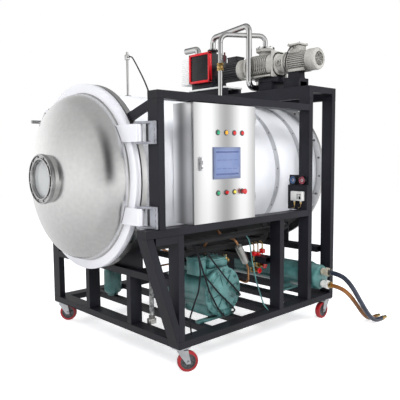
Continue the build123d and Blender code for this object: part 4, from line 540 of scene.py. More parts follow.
for node, material in (("chamber_shell", satin_steel), ("door_gasket", silicone), ("shelves", shelf_aluminium)):
    nodes[node].data.materials.clear()
    nodes[node].data.materials.append(material)
jacket_line = [(0, 551), (0, 592), (1.2, 595), (4, 596), (300, 596), (301, 595.2), (302, 596), (1366, 596),
               (1950, 596), (1953.8, 595), (1955, 592), (1955, 551)]
piece("jacket_sheet", hoop(centre(-105), REAR, jacket_line, 160), enamel, instead="chamber_jacket")
BAND = 55
band_line = [(0, 595.5), (0, 598.5), (2, 599.5), (BAND - 2, 599.5), (BAND, 598.5), (BAND, 595.5)]
dome = turned((0, 0, 0), UP, [(0, 7), (1.5, 7), (3.4, 5), (4, 0)], 12)
for number, low in enumerate((1262, 1594), start=1):
    piece(f"jacket_band_{number}", hoop(centre(low), REAR, band_line, 160), band_grey)
    spots = circle(centre(low + BAND / 2), REAR, 599, 24, 7.5)
    piece(f"band_screws_{number}", many(dome, spots, spots - centre(low + BAND / 2)), screw_steel)
piece("flange_bolts", bolts(9, 8, circle(centre(1850), REAR, 626, 24), FORE), screw_steel)
eased("shelf_rack", 1, satin_steel)
eased("ice_plates", 1, satin_steel)

# ==================== Door ====================
# A spun head of stainless sheet, polished in circles, welded into a thick machined ring. A bolted clamping ring holds
# the round sight glass on a short neck at the head's middle.
def rod(start, way, profile, count=96):
    """A turned solid: its profile is closed to the axis at both ends."""
    return turned(start, way, [(profile[0][0], 0), *profile, (profile[-1][0], 0)], count)


def capped(rings):
    """A skin over a row of rings, with faces fanned from the middle of the first ring and of the last."""
    rings = np.asarray(rings)
    caps = np.broadcast_to(rings[[0, -1]].mean(axis=1, keepdims=True), (2, *rings.shape[1:]))
    return grid(np.concatenate([caps[:1], rings, caps[1:]]))


def slab(outline, way, thick):
    """A plate: the outline's points, and the same points a thickness in mm further along the way."""
    outline = np.array(outline)
    return capped([outline, outline + unit(way) * thick / 1000])


def softbox(low, high, radius=4.0):
    """Rounded block: a ball of the corner radius, whose eight octants are moved out to the block's corners."""
    quarter = np.linspace(0, pi / 2, 3)
    around = (quarter + np.arange(4)[:, None] * pi / 2).ravel()
    down = np.concatenate([quarter, pi / 2 + quarter])[:, None]
    ways = np.broadcast_arrays(np.sin(down) * np.cos(around), np.sin(down) * np.sin(around), np.cos(down))
    side_x, side_y = np.repeat([(1, 1), (-1, 1), (-1, -1), (1, -1)], 3, axis=0).T
    signs = np.broadcast_arrays(side_x, side_y, np.repeat([1, -1], 3)[:, None])
    low, high, radius = np.array(low), np.array(high), radius / 1000
    reach = (high - low) / 2 - radius
    return capped((low + high) / 2 + np.stack(signs, -1) * reach + radius * np.stack(ways, -1))


def box(x, y, z, dx, dy, dz, radius=4.0):
    """A rounded block from its low corner and its three lengths, in mm from the base's corner."""
    return softbox(at(x, y, z), at(x + dx, y + dy, z + dz), radius)


DISH, CROWN, KNUCKLE, WALL = 585.0, 1000.0, 160.0, 8.0
RING_X = -195.0
depth = CROWN - sqrt((CROWN - KNUCKLE) ** 2 - (DISH - KNUCKLE) ** 2)
lean = np.arctan2(DISH - KNUCKLE, CROWN - depth)


def head_line(shrink, stop):
    """The head's section, as (distance out of the ring, radius): a knuckle arc up to the lean angle, and the crown.

    Each point lies at its arc's centre plus radius times (cos, sin) of an angle."""
    parts = []
    for radius, back, out, angles in (
        (KNUCKLE - shrink, 0, DISH - KNUCKLE, np.linspace(pi / 2, lean, 18)),
        (CROWN - shrink, depth - CROWN, 0, np.linspace(lean, np.arcsin(stop / (CROWN - shrink)), 48)[1:]),
    ):
        parts.append(np.stack([back + radius * np.cos(angles), out + radius * np.sin(angles)], 1))
    return np.concatenate(parts)


def pane(name, scale, film, inputs):
    """Glass with a thin uneven film on it: noise of this scale is mapped onto a range of roughness."""
    made, tree, shader = blank_material(name)
    haze = add(tree, "TexNoise", {"Scale": scale})
    feed(shader, {"Roughness": mapped(tree, haze, onto=film), **inputs})
    return made


spun_steel = finish("spun_steel", 0.66, (0.82, 0.82, 0.81), 1.0, (0.22, 0.27), cloud=0.8, grain=34, relief=0.0)
bright_ring = finish("bright_ring", (0.84, 0.84, 0.89), (0.96, 0.96, 1.0), 0.45, (0.25, 0.38), cloud=2, relief=0.04)
# The flange steel and the leaf grey below are darkened in their corners and gaps: painted shade.
flange_steel = finish("flange_steel", 0.34, 0.7, 1.0, (0.16, 0.3), cloud=12, grain=200, relief=0.15, corner_shade=0.2)
black_grip = finish("black_grip", (0.01, 0.01, 0.011), (0.035, 0.035, 0.037), rough=(0.3, 0.45), relief=0.2,
                    dust=0.12)
leaf_grey = finish("leaf_grey", (0.24, 0.245, 0.28), (0.5, 0.51, 0.56), 0.6, (0.3, 0.45), cloud=12, relief=0.1,
                   corner_shade=0.25)
glass = pane("sight_glass", 30.0, (0.02, 0.14), {"Base Color": (0.88, 0.9, 0.9, 1), "Transmission Weight": 0.45,
                                                 "IOR": 1.47})
step_line = [(depth + 12, 165), (depth + 12, 141), (depth - 3, 141), (depth - 3, 119), (depth - 9, 119)]
shell_line = np.concatenate([head_line(0, 165), step_line, head_line(WALL, 119)[::-1], [(0, 545), (0, DISH)]])
piece("door_dish", turned(centre(RING_X), FORE, shell_line, 200), spun_steel, "door", "door_head")
ring_line = [(0, 545.5), (0, 585.3), (0, 652), (1, 654), (3, 655), (39, 655), (41, 654), (42, 652), (42, 545.5)]
piece("door_ring", hoop(centre(RING_X), REAR, ring_line, 200), bright_ring, "door")
fillet = hoop(centre(RING_X), FORE, [(0, 593), (3, 591), (6, 587), (8, 583), (0, 583)], 200)
piece("door_weld", fillet, satin_steel, "door")
neck = RING_X - depth - 12
pane_shape = rod(centre(neck), REAR, [(0, 139), (1, 140), (14, 140), (15, 139)], 96)
piece("sight_pane", pane_shape, glass, "door", "sight_glass")
clamp_line = [(0, 132), (0, 140), (6, 141), (6, 159), (0, 160), (0, 166), (4, 170), (24, 170), (28, 168), (28, 127),
              (9, 127)]
clamp = hoop(centre(neck - 28), REAR, clamp_line, 128)
piece("sight_clamp", clamp, flange_steel, "door", "sight_ring")
sight_bolts = bolts(6, 4, circle(centre(neck - 22.2), REAR, 150, 12), FORE)
piece("sight_bolts", sight_bolts, flange_steel, "door")


lug_angle = radians(44.0)
lug_sides = np.array([(0, cos(lug_angle), sin(lug_angle)), (0, -sin(lug_angle), cos(lug_angle))]) / 1000
lug_line = np.array([(640, -25), (700, -25), (707, -18), (707, 18), (700, 25), (640, 25)])
lug = slab(centre(RING_X) + lug_line @ lug_sides, REAR, 42)
piece("clamp_lug", lug, bright_ring, "door", edge=2)
eased("door_clamp", 1.5, flange_steel, "clamp")
eased("door_hinge_arms", 3, bright_ring, "door")
eased("hinge_brackets", 3, leaf_grey)
LEAF_HEIGHTS = (872, 1395)
leaf_studs = [at(-165, 20, height + dz) for height in LEAF_HEIGHTS for dz in (-52, -18, 18, 52)]
piece("leaf_studs", bolts(5, 4, leaf_studs, FORE), zinc)
# A thin black strip beside each hinge knuckle stands for the shade in the gap between knuckle and leaf: painted shade.
hinge_gap_shade = [box(-166.6, 76, height - 50, 1.8, 23, 100, 0.6) for height in LEAF_HEIGHTS]
piece("hinge_gap_shade", hinge_gap_shade, black_grip)

# ==================== Control cabinet ====================
# A brushed stainless sheet cabinet with a full door on pin hinges. The door carries a touch panel, four lamps, three
# 22 mm buttons and switches, a red emergency stop and a flush chromed lock.
BRUSHED = {"metal": 1.0, "rough": (0.26, 0.34), "cloud": 3, "grain": 160, "stretch": (1.5, 1.5, 0.01), "relief": 0.02}
# The cabinet's brushed steel carries painted reflections: broad light and dark bands across the front sheet and across
# the side sheets.
front_steel = finish("front_steel", (0.84, 0.84, 0.85), 1.0, bands=(REAR, corner[0] + 0.264, 2 * pi / 0.352, 0.42),
                     **BRUSHED)
side_steel = finish("side_steel", (0.86, 0.86, 0.87), 1.0, bands=(IN, corner[1] + 0.042, 2 * pi / 0.158, 0.34),
                    **BRUSHED)
chrome = finish("chrome", (0.62, 0.62, 0.64), (0.86, 0.86, 0.88), 1.0, (0.05, 0.14), relief=0.02)
seal = finish("seal_rubber", 0.012, 0.04, rough=(0.5, 0.7), relief=0.2)
screen_frame = finish("screen_frame", (0.11, 0.14, 0.24), (0.18, 0.22, 0.36), rough=(0.3, 0.4), relief=0.03)
screen_glow = finish("screen_glow", (0.12, 0.165, 0.31), (0.17, 0.22, 0.4), rough=(0.12, 0.18), relief=0.0, coat=0.3,
                     lit=0.15)
screen_bars = finish("screen_bars", (0.04, 0.06, 0.17), (0.08, 0.11, 0.25), rough=(0.12, 0.18), relief=0.0, coat=0.5,
                     lit=0.2)
collar_grey = finish("collar_grey", 0.05, 0.2, 0.8, (0.2, 0.35))
white_mark = finish("white_mark", 0.6, 0.85, rough=(0.3, 0.4))
# These four plastics glow faintly (lit). On the lamp lenses that is the lamps' own light; on the buttons, selector,
# stop head, solenoid coils and valve wheels, which wear the same plastics, the glow is painted light.
green, amber, red, yellow = (
    finish(name, dark, light, rough=(0.08, 0.16), relief=0.0, coat=0.8, lit=0.12, cloud=40)
    for name, dark, light in (
        ("lens_green", (0.0, 0.16, 0.07), (0.02, 0.42, 0.2)),
        ("lens_amber", (0.5, 0.18, 0.0), (0.85, 0.42, 0.02)),
        ("lens_red", (0.34, 0.004, 0.006), (0.62, 0.012, 0.016)),
        ("lens_yellow", (0.55, 0.42, 0.02), (0.8, 0.68, 0.1)),
    )
)


def along_y(middle, half, bend, stations, count=96):
    """A closed surface along Y. At each (y, growth) in mm a rectangle in X and Z with round corners stands out from
    the half lengths by the growth."""
    angle = (np.arange(count) + 0.5) * 2 * pi / count
    y, grow = np.array(stations, float).T[..., None]
    bend = np.maximum(bend + grow, 0.5)
    x, z = (
        spot + np.sign(wave) * (reach + grow - bend) + wave * bend
        for spot, reach, wave in zip(middle, half, (np.cos(angle), np.sin(angle)))
    )
    return capped(corner + np.stack([x, np.broadcast_to(y, x.shape), z], -1) / 1000)


sheet_line = [(198, -2), (22, -2), (22, -18), (20, -18), (20, -1), (21, 0), (199, 0), (200, -1)]
cabinet = [along_y((440, 1197.5), (300, 397.5), 4, sheet_line)]
for height in (920, 960, 1475, 1515):
    barrel = rod(at(748, 9, height), UP, [(0, 6.5), (1, 7), (19, 7), (20, 6.5)], 24)
    cabinet += [barrel, box(740, 9, height, 4, 41, 20, 1)]
piece("cabinet_case", cabinet, side_steel, instead="cabinet_body")
eased("cabinet_door", 3, front_steel, "cabinet_front")
eased("control_plate", 1, zinc)
seal_strips = [box(x, 12, z, dx, 7.6, dz, 2)
               for x, z, dx, dz in ((143, 803, 594, 8), (729, 803, 8, 789), (143, 1584, 594, 8), (143, 803, 8, 789))]
bars = [box(336, -9.1, z, 220, 1.2, 12, 0.4) for z in (1268, 1118)]
bars += [box(342 + 53 * step, -9.1, z, 42, 1.2, 3, 0.3) for z in (1218, 1160) for step in range(4)]
for name, shape, material, slot, node in (
    ("door_seal", seal_strips, seal, "black_plastic", None),
    ("screen_bezel", box(313, -8, 1091, 266, 8, 216, 4), screen_frame, "screen", "touch_screen"),
    ("screen_housing", box(327, -1, 1105, 238, 47, 188, 3), seal, "screen", None),
    ("screen_face", box(330, -8.6, 1108, 232, 2, 182, 0.6), screen_glow, "screen", None),
    ("screen_bars", bars, screen_bars, "screen", None),
):
    piece(name, shape, material, "cabinet_front", node)

LAMP_Z, BUTTON_Z = 1404, 998
cap_line = [(0, 0), (0, 12.5), (3, 13.5), (8, 13.5), (10.6, 10.0), (11.8, 5), (12, 0)]
collar_line = [(0, 12.2), (0, 19), (2, 19.5), (4.4, 18.4), (5, 12.2)]
LEFT, INNER_LEFT, INNER_RIGHT, RIGHT = 361, 441, 521, 601
lamps = ((LEFT, green), (INNER_LEFT, amber), (INNER_RIGHT, red), (RIGHT, red))


def collar(name, x, z):
    """The grey bezel round a lamp or a button. Its dark grey also stands in for the ring of shade round each lamp, so
    it is partly painted shade.
    """
    piece(name, hoop(at(x, 0.2, z), OUT, collar_line, 32), collar_grey, "cabinet_front")


for number, (x, colour) in enumerate(lamps, start=1):
    lens = turned(at(x, 0.2, LAMP_Z), OUT, cap_line, 32)
    piece(f"lamp_{number}", lens, colour, "cabinet_front", "indicator_lamps" if number == 1 else None)
    collar(f"lamp_collar_{number}", x, LAMP_Z)
for number, (x, _) in enumerate(lamps, start=1):
    collar(f"button_collar_{number}", x, BUTTON_Z)
push_line = [(-16, 0), (-16, 11.5), (8, 11.8), (11, 10.8), (12, 9), (11.4, 0)]
for name, x, colour, slot, body, node in (
    ("start_push", LEFT, green, "green_plastic", "start", "start_button"),
    ("reset_push", INNER_RIGHT, yellow, "yellow_plastic", "reset", "reset_button"),
    ("selector_base", INNER_LEFT, red, "red_plastic", "selector", "selector_switch"),
):
    piece(name, turned(at(x, 0, BUTTON_Z), OUT, push_line, 32), colour, body, node)
tilt = radians(35)
grip_sides = np.array([(cos(tilt), 0, -sin(tilt)), (sin(tilt), 0, cos(tilt))]) / 1000
for name, y, outline, thick, colour, edge in (
    ("selector_grip", -12, [(-4, -11.5), (4, -11.5), (3.2, 9), (0, 12), (-3.2, 9)], 10, red, 1.2),
    ("selector_mark", -21.5, [(-0.8, 2), (0.8, 2), (0.8, 10), (-0.8, 10)], 0.8, white_mark, 0),
):
    plate = slab(at(INNER_LEFT, y, BUTTON_Z) + np.array(outline) @ grip_sides, OUT, thick)
    piece(name, plate, colour, "selector", edge=edge)
stop_line = [(-16, 0), (-16, 11.5), (20, 11.8), (22, 14), (22.6, 18.5), (25, 20), (29, 20), (32, 17.5), (33.7, 9),
             (34, 0)]
piece("stop_head", turned(at(RIGHT, 0, BUTTON_Z), OUT, stop_line, 48), red, "stop", "emergency_stop")
LOCK_X, LOCK_Z = 200, 1197
around = np.linspace(0, 2 * pi, 40, endpoint=False)
oval = np.stack([np.cos(around) * 11, np.sin(around) * 11 + np.sign(np.sin(around)) * 35], 1)


def escutcheon(shrink, y, deep):
    """A plate with round ends, standing out of the door's face."""
    return slab([at(LOCK_X + a * shrink, y, LOCK_Z + b * (1 - (1 - shrink) * 0.24)) for a, b in oval], OUT, deep)


shank = rod(at(LOCK_X, 16, LOCK_Z), OUT, [(0, 6), (24, 6)], 24)
cam = box(LOCK_X - 52, 24, LOCK_Z - 9, 60, 3, 18, 1)
piece("lock_plate", [escutcheon(1.0, -8, 8), shank, cam], chrome, "lock", "cabinet_handle", edge=1)
keyhole = rod(at(LOCK_X, -19, LOCK_Z - 26), OUT, [(0, 5.5), (4, 5.5), (5, 4.5)], 24)
piece("lock_paddle", [escutcheon(0.62, -16, 3), keyhole], chrome, "lock", edge=0.8)
# The key slot is a thin black block on the paddle: painted shade in place of an opening.
piece("lock_slot", box(LOCK_X - 2.5, -19.8, LOCK_Z - 4, 5, 1.4, 26, 0.6), black_grip, "lock")

# ==================== Refrigeration set ====================
# A semi-hermetic compressor and a shell-and-tube condenser in teal enamelled cast iron, a receiver, a filter drier,
# brass service valves with red wheels and copper lines, all standing in the base.
# The teal enamel is darkened in its corners and gaps: painted shade.
teal = finish("teal_enamel", (0.018, 0.078, 0.078), (0.115, 0.3, 0.29), rough=(0.25, 0.4), cloud=7, grain=420,
              relief=0.4, dust=0.12, coat=0.3, corner_shade=0.22)
copper = finish("copper", (0.42, 0.18, 0.08), (0.68, 0.36, 0.18), 1.0, (0.25, 0.42), cloud=20, dust=0.1)
lagging = finish("lagging", (0.008, 0.008, 0.009), (0.025, 0.025, 0.027), rough=(0.7, 0.85), relief=0.5, grain=160,
                 dust=0.2)
beige = finish("beige_fitting", (0.3, 0.27, 0.2), (0.56, 0.52, 0.42), cloud=10, dust=0.2)
white_fitting = finish("white_fitting", (0.6, 0.6, 0.57), (0.84, 0.84, 0.82), rough=(0.3, 0.45), dust=0.1)
drier_metal = finish("drier_metal", (0.4, 0.4, 0.38), (0.68, 0.67, 0.64), 0.8, (0.25, 0.4), dust=0.1)
braid = finish("braid", 0.1, 1.0, 0.6, (0.3, 0.5), grain=900, relief=0.6, cloud=70)


def spokes(middle, way, low, high, half, thick, turn=0.0):
    """Eight flat bars in X and Z about a middle, each this thick and twice the half wide, between two radii in mm."""
    outline = np.array([(low, -half), (high, -half), (high, half), (low, half)]) / 1000
    return [
        slab(middle + outline @ np.array([(cos(angle), 0, sin(angle)), (sin(angle), 0, -cos(angle))]), way, thick)
        for angle in turn + np.arange(8) * pi / 4
    ]


COMP_X, COMP_FRONT, COMP_Z = 545, 128, 262
case_line = [(0, 120), (3, 132), (3, 168), (6, 178), (20, 178), (20, 164), (30, 160)]
for start in range(290, 435, 24):
    case_line += [(start, 158), (start + 2, 162), (start + 8, 162), (start + 10, 158)]
case_line += [(470, 156), (484, 150), (484, 128), (500, 124)]
cover_line = [(0, 138), (7, 132), (9, 120), (6, 112), (9, 60), (12, 50), (12, 0)]
face = at(COMP_X, COMP_FRONT, COMP_Z)
boss = rod((0, 0, 0), UP, [(0, 17), (8, 15), (9, 13)], 20)
compressor = [
    rod(face, IN, case_line),
    turned(at(COMP_X, COMP_FRONT + 3, COMP_Z), OUT, cover_line, 64),
    bolts(9, 9, circle(face, IN, 156, 14, 12), OUT),
    many(boss, circle(at(COMP_X, COMP_FRONT + 8, COMP_Z), IN, 156, 14, 12), OUT),
    # Eight stiffening ribs run out over the bell like spokes, each sunk in it at both ends.
    *spokes(at(COMP_X, COMP_FRONT - 1, COMP_Z), OUT, 46, 128, 4, 10, 0.3),
    turned(at(COMP_X, COMP_FRONT + 250, COMP_Z + 150), UP, [(0, 26), (18, 24), (20, 0)], 24),
    box(420, 168, 87, 250, 260, 175, 22),
    box(430, 188, 392, 230, 260, 38, 10),
    *(box(425 + step * 44, 162, 100, 9, 12, 130, 4) for step in range(6)),
    *(box(345, y, 50, 360, 44, 22, 4) for y in (178, 538)),
    *(box(455, y, 72, 180, 20, 112, 6) for y in (190, 550)),
]
piece("compressor_case", compressor, teal, instead="compressor_body")
heads = []
for y in (194, 324):
    heads += [box(465, y, 430, 190, 116, 50, 10), box(473, y + 8, 470, 174, 100, 24, 9)]
    heads += [box(480 + 32 * step, y + 12, 488, 8, 92, 7, 2.5) for step in range(5)]
head_places = [at(x, y + dy, 494) for y in (194, 324) for x in (476, 560, 644) for dy in (14, 102)]
heads += [box(465, 310, 430, 190, 14, 30, 3), box(355, 194, 392, 75, 130, 118, 8), box(351, 190, 508, 83, 138, 16, 5),
          bolts(8, 9, head_places), bolts(5, 4, [at(x, y, 524) for x in (359, 426) for y in (198, 320)])]
piece("compressor_heads_cast", heads, teal, instead="compressor_heads")
stub_line = [(0, 22), (14, 22), (16, 16), (44, 15), (46, 19), (58, 19), (60, 0)]
valve_line = [(-20, 0), (-20, 16), (26, 16), (28, 12), (44, 12), (46, 0)]
service = [turned(at(655, 252, 455), REAR, stub_line, 24), turned(at(690, 252, 455), UP, valve_line, 24),
           box(430, 170, 330, 40, 22, 30, 5)]
piece("service_valve", service, brass)
piece("oil_sight", turned(at(600, 166, 190), OUT, [(0, 20), (8, 20), (9, 15), (9, 0)], 24), brass)

COND_X, COND_Z = 1567.0, 220.0
end_line = [(0, 116), (8, 118), (22, 118), (24, 106), (118, 103), (131, 96), (137, 82), (138, 0)]
condenser = [
    hoop(at(COND_X, 135, COND_Z), IN, [(0, 104), (0, 105), (1240, 105), (1240, 104)], 64),
    *(rod(at(COND_X, y, COND_Z), IN, [(0, 116), (2, 120), (23, 120), (25, 118)], 64) for y in (110, 1375)),
    turned(at(COND_X, 110, COND_Z), OUT, end_line, 64),
    box(COND_X - 100, -14, COND_Z - 5, 200, 40, 10, 4),
    *(box(1405, y, 50, 325, 60, 12, 2) for y in (315, 1155)),
    *(box(COND_X - 80, y, 62, 160, 12, 110, 3) for y in (339, 1179)),
    bolts(9, 9, circle(at(COND_X, 88, COND_Z), IN, 110, 12, 15), OUT),
]
piece("condenser_shell", condenser, teal, instead="condenser")
union_line = [(0, 24), (6, 24), (8, 30), (22, 30), (24, 27), (30, 27), (32, 29.5), (44, 29.5), (46, 26), (67, 26),
              (68, 24), (68, 0)]
nut_line = [(0, 34), (2, 38), (24, 38), (26, 34), (26, 24), (0, 24)]
for height, material, label, node in ((273, beige, "return", "water_fittings"), (167, white_fitting, "supply", None)):
    union = [turned(at(COND_X, -28, height), OUT, union_line, 48), hoop(at(COND_X, -96, height), IN, nut_line, 6)]
    piece(f"water_union_{label}", union, material, instead=node)
for height, radius, material in ((273, 20.5, screw_steel), (167, 18.5, brass)):
    clip_line = [(0, radius - 3), (0, radius + 3), (2, radius + 4), (22, radius + 4), (24, radius + 3),
                 (24, radius - 3)]
    clip = [hoop(at(COND_X, -100, height), OUT, clip_line, 40),
            box(COND_X - 8, -120, height + radius + 1, 22, 12, 9, 2)]
    piece(f"hose_clip_{height}", clip, material)

drum_line = [(15, 0), (15, 40), (22, 58), (34, 71), (50, 75), (210, 75), (226, 71), (238, 58), (245, 40), (245, 14),
             (270, 14), (270, 0)]
foot = at(370, 1300, 50)
receiver = [turned(foot, UP, drum_line, 64), rod(foot, UP, [(0, 45), (16, 45)], 48)]
piece("receiver_drum", receiver, teal, instead="receiver")
drier_foot, drier_head = np.array([(870, 200, 411), (771, 200, 569)], float)
long = np.linalg.norm(drier_head - drier_foot)
drier_way = (drier_head - drier_foot) / long
can_line = [(0, 12), (14, 27), (20, 28), (long - 20, 28), (long - 14, 27), (long, 12)]
piece("drier_can", rod(at(*drier_foot), drier_way, can_line, 48), drier_metal, instead="filter_drier")


def bent_line(corners, bend):
    """A route in mm made of straight runs joined by tangent arcs of one radius, as points 8 to an arc."""
    corners = np.array(corners, float)
    share = np.linspace(0, 1, 9)[:, None]
    route = [corners[:1]]
    for last, here, following in zip(corners, corners[1:], corners[2:]):
        back, on = unit(last - here), unit(following - here)
        half = np.arccos(np.clip(back @ on, -1, 1)) / 2
        reach = 0.49 * min(np.linalg.norm(last - here), np.linalg.norm(following - here))
        set_back = min(bend / np.tan(half), reach)
        hub = here + unit(back + on) * set_back / np.cos(half)
        sweep = pi - 2 * half
        first, final = here + back * set_back - hub, here + on * set_back - hub
        route.append(hub + (np.sin((1 - share) * sweep) * first + np.sin(share * sweep) * final) / np.sin(sweep))
    return np.concatenate([*route, corners[-1:]])


def pipe(corners, radius, bend=0, count=20, bore=None):
    """A round section carried along a bent line in mm: each ring is square to the mean of its two runs."""
    spots = np.array([at(*spot) for spot in bent_line(corners, bend)])
    runs = unit(np.diff(spots, axis=0))
    side, up = square_to(unit(np.vstack([runs[:1], runs[:-1] + runs[1:], runs[-1:]])))
    angle = np.arange(count)[:, None] * 2 * pi / count
    rim = np.cos(angle) * side[:, None] + np.sin(angle) * up[:, None]
    outer = spots[:, None] + radius / 1000 * rim
    if bore:
        return grid(np.concatenate([outer, (spots[:, None] + bore / 1000 * rim)[::-1]]), round_rows=True)
    return capped(outer)


SOCKET = 45
foot_end, head_end = drier_foot - drier_way * SOCKET, drier_head + drier_way * SOCKET
liquid_line = [(370, 1300, 320), (370, 1300, 390), (foot_end[0], 1300, 390), (foot_end[0], 200, 250), foot_end,
               drier_foot]
copper_lines = [
    pipe(liquid_line, 9, 30),
    pipe([drier_head, head_end, (720, 330, 640), (720, 400, 700)], 9, 30),
    pipe([(446, 1300, 220), (1462, 1300, 220)], 9),
    pipe([(605, 390, 494), (605, 390, 590), (COND_X, 390, 590), (COND_X, 390, 325)], 11, 40),
]
piece("copper_lines", copper_lines, copper, instead="refrigerant_pipes")
piece("suction_line", pipe([(545, 558, 422), (545, 558, 560)], 17), lagging)
# Each wheel has eight lobes: its radius swells with the cosine of eight times the angle.
angle = np.arange(64) * 2 * pi / 64
lobes = (1 + 0.07 * np.cos(8 * angle))[:, None] * np.stack([np.cos(angle), 0 * angle, np.sin(angle)], 1)
wheel_along, wheel_radius = np.array([(0, 0), (0, 18), (2, 21.5), (11, 21.5), (14, 18), (14, 0)]).T / 1000
for number, x, z in ((1, 1052, 370), (2, 985, 340)):
    cock = [box(x - 18, 200, z - 20, 36, 44, 40, 6),
            turned(at(x, 200, z), OUT, [(0, 17), (6, 17), (8, 13), (22, 13), (22, 5.1), (0, 5.1)], 32),
            turned(at(x, 222, z + 18), UP, [(0, 12), (14, 12), (16, 9), (400 - z - 18, 7)], 24)]
    piece(f"service_cock_{number}", cock, brass)
    wheel = grid(at(x, 170, z) + wheel_radius[:, None, None] * lobes + wheel_along[:, None, None] * np.array(OUT))
    stem = rod(at(x, 216, z), OUT, [(0, 4.9), (46, 4.9)], 24)
    piece(f"valve_wheel_{number}", [wheel, stem], red, f"knob_{number}", f"valve_knob_{number}")
ridges = [(2 * step + out, radius) for step in range(300) for out, radius in ((0.5, 16), (1.5, 17))]
drain = rod(at(122, 440, 90), UP, np.array([(0, 17), *ridges, (601, 17)]) * (0.93, 1), 24)
piece("drain_hose", drain, braid)
drain_nut = turned(at(122, 440, 86), UP, [(0, 0), (0, 22), (26, 22), (28, 19), (30, 0)], 6)
piece("drain_valve", [box(92, 418, 50, 56, 44, 40, 5), drain_nut], drier_metal)

# Two lagged suction lines pass under the chamber, whose underside has a dark foam blanket; it also stands in for the
# shade under the unlit belly, so it is partly painted shade.
lagged_lines = [
    pipe([(110, 450, 660), (110, 150, 660), (1340, 150, 660), (1340, 450, 660)], 23, 60, 28),
    pipe([(200, 640, 552), (200, 285, 552), (1200, 285, 552), (1200, 285, 700), (1200, 420, 700)], 24, 55, 28),
    *(hoop(at(x, 150, 660), REAR, [(0, 22), (0, 24), (8, 24), (8, 22)], 28) for x in range(260, 1300, 230)),
]
piece("lagged_lines", lagged_lines, lagging)
under = np.radians(np.linspace(216, 324, 49))
ways = np.stack([0 * under, np.cos(under), np.sin(under)], 1) / 1000
blanket = [centre(x) + out * ways for x, out in ((-60, 594), (-60, 602), (1845, 602), (1845, 594))]
piece("belly_blanket_and_shade", capped(np.stack(blanket, 1)), lagging)
CAPILLARIES = (
    [(250, 150, 660), (258, 104, 600), (304, 98, 466), (369, 98, 299), (450, 98, 164), (560, 130, 66), (590, 190, 60)],
    [(255, 150, 660), (264, 104, 590), (317, 98, 425), (450, 98, 284), (592, 98, 154), (680, 140, 90), (690, 190, 62)],
    [(300, 150, 660), (325, 104, 607), (398, 98, 519), (535, 98, 369), (652, 98, 256), (735, 120, 185),
     (680, 215, 215)],
    [(242, 150, 660), (272, 104, 560), (284, 98, 450), (263, 98, 319), (224, 96, 251), (170, 90, 150), (160, 60, 48)],
)
piece("capillaries", [pipe(route, 6, 120, 12) for route in CAPILLARIES], sheath)
SENSE_ROUTE = [(795, 150, 660), (806, 112, 610), (834, 110, 453), (883, 110, 285), (950, 92, 90), (965, 60, 48)]
piece("sense_line", pipe(SENSE_ROUTE, 5, 120, 12), teal)
COILS = ((985, 452), (1035, 438), (1088, 460))
coils = [box(x - 16, 202, z, 32, 40, 34, 4) for x, z in COILS]
stems = [pipe([(955, 222, 405), (1112, 222, 405)], 7, count=16)]
for x, z in COILS:
    stems += [rod(at(x, 222, z + 30), UP, [(0, 9), (12, 9), (14, 6)], 20),
              pipe([(x, 222, 405), (x, 222, 552), (x, 280, 552)], 5.5, 25, 12)]
piece("solenoid_coils", coils, red)
piece("solenoid_stems", stems, brass)

# ==================== Gauges ====================
# A bent steel plate with a small box stands on the mid rail against the rear post. It carries the high and low
# pressure gauges in black cases and a white pressure controller, with brass unions below.
gauge_black = finish("gauge_black", (0.004, 0.004, 0.005), (0.014, 0.014, 0.016), rough=(0.2, 0.35), shine=0.3)
window = pane("gauge_window", 40.0, (0.0, 0.06), {"Transmission Weight": 1.0, "IOR": 1.15})
dial_white, dial_blue, dial_red = (
    finish(name, dark, light, rough=(0.3, 0.45), relief=0.0)
    for name, dark, light in (
        ("dial_white", (0.72, 0.74, 0.78), (0.9, 0.91, 0.93)),
        ("dial_blue", (0.06, 0.16, 0.46), (0.16, 0.3, 0.66)),
        ("dial_red", (0.46, 0.05, 0.1), (0.7, 0.14, 0.2)),
    )
)
eased("gauge_panel", 1.5, frame_paint)


def dial_strip(middle, inner, outer, low, high):
    """A flat curved strip on a dial that faces -X, between two angles clockwise from the top in degrees."""
    angle = np.radians(np.linspace(low, high, 25))
    ways = np.stack([0 * angle, -np.sin(angle), np.cos(angle)], 1)
    proud = np.array([-0.4, 0, 0])
    section = [inner * ways, outer * ways, outer * ways + proud, inner * ways + proud]
    return capped(middle + np.stack(section, 1) / 1000)


DIAL_X, DIAL_Z = 1381, 1040
gauge_line = [(0, 33), (2, 35), (20, 35), (21, 36), (25, 36), (26, 34.5), (26, 31.5), (20, 31), (20, 0)]
glass_line = [(0, 0), (0, 31), (0.8, 31), (1.6, 20), (2, 0)]
for name, y, colour, node in (("low", 140, dial_blue, "gauges"), ("high", 50, dial_red, None)):
    front, marks, tip = (at(DIAL_X - proud, y, DIAL_Z) for proud in (0.6, 1.0, 1.4))
    ticks = [dial_strip(marks, 17, 22, turn - 0.8, turn + 0.8) for turn in range(-135, 136, 27)]
    hub = rod(front, FORE, [(0, 3.4), (2, 3.4), (2.4, 2.6)], 20)
    for part, shape, material, instead in (
        ("case", turned(at(DIAL_X + 20, y, DIAL_Z), FORE, [(0, 0), *gauge_line], 64), gauge_black, node),
        ("dial", rod(at(DIAL_X, y, DIAL_Z), FORE, [(0, 30.5), (0.6, 30.5)], 48), dial_white, None),
        ("bands", [dial_strip(front, 13, 30, -180, 180), dial_strip(front, 5, 8, -120, 40)], colour, None),
        ("needle", [*ticks, dial_strip(tip, -6, 25, -60, -57), hub], gauge_black, None),
        ("glass", turned(at(DIAL_X - 3.5, y, DIAL_Z), FORE, glass_line, 48), window, None),
    ):
        piece(f"{name}_gauge_{part}", shape, material, instead=instead)
controller = [box(1350, 22, 873, 30, 120, 77, 5)]
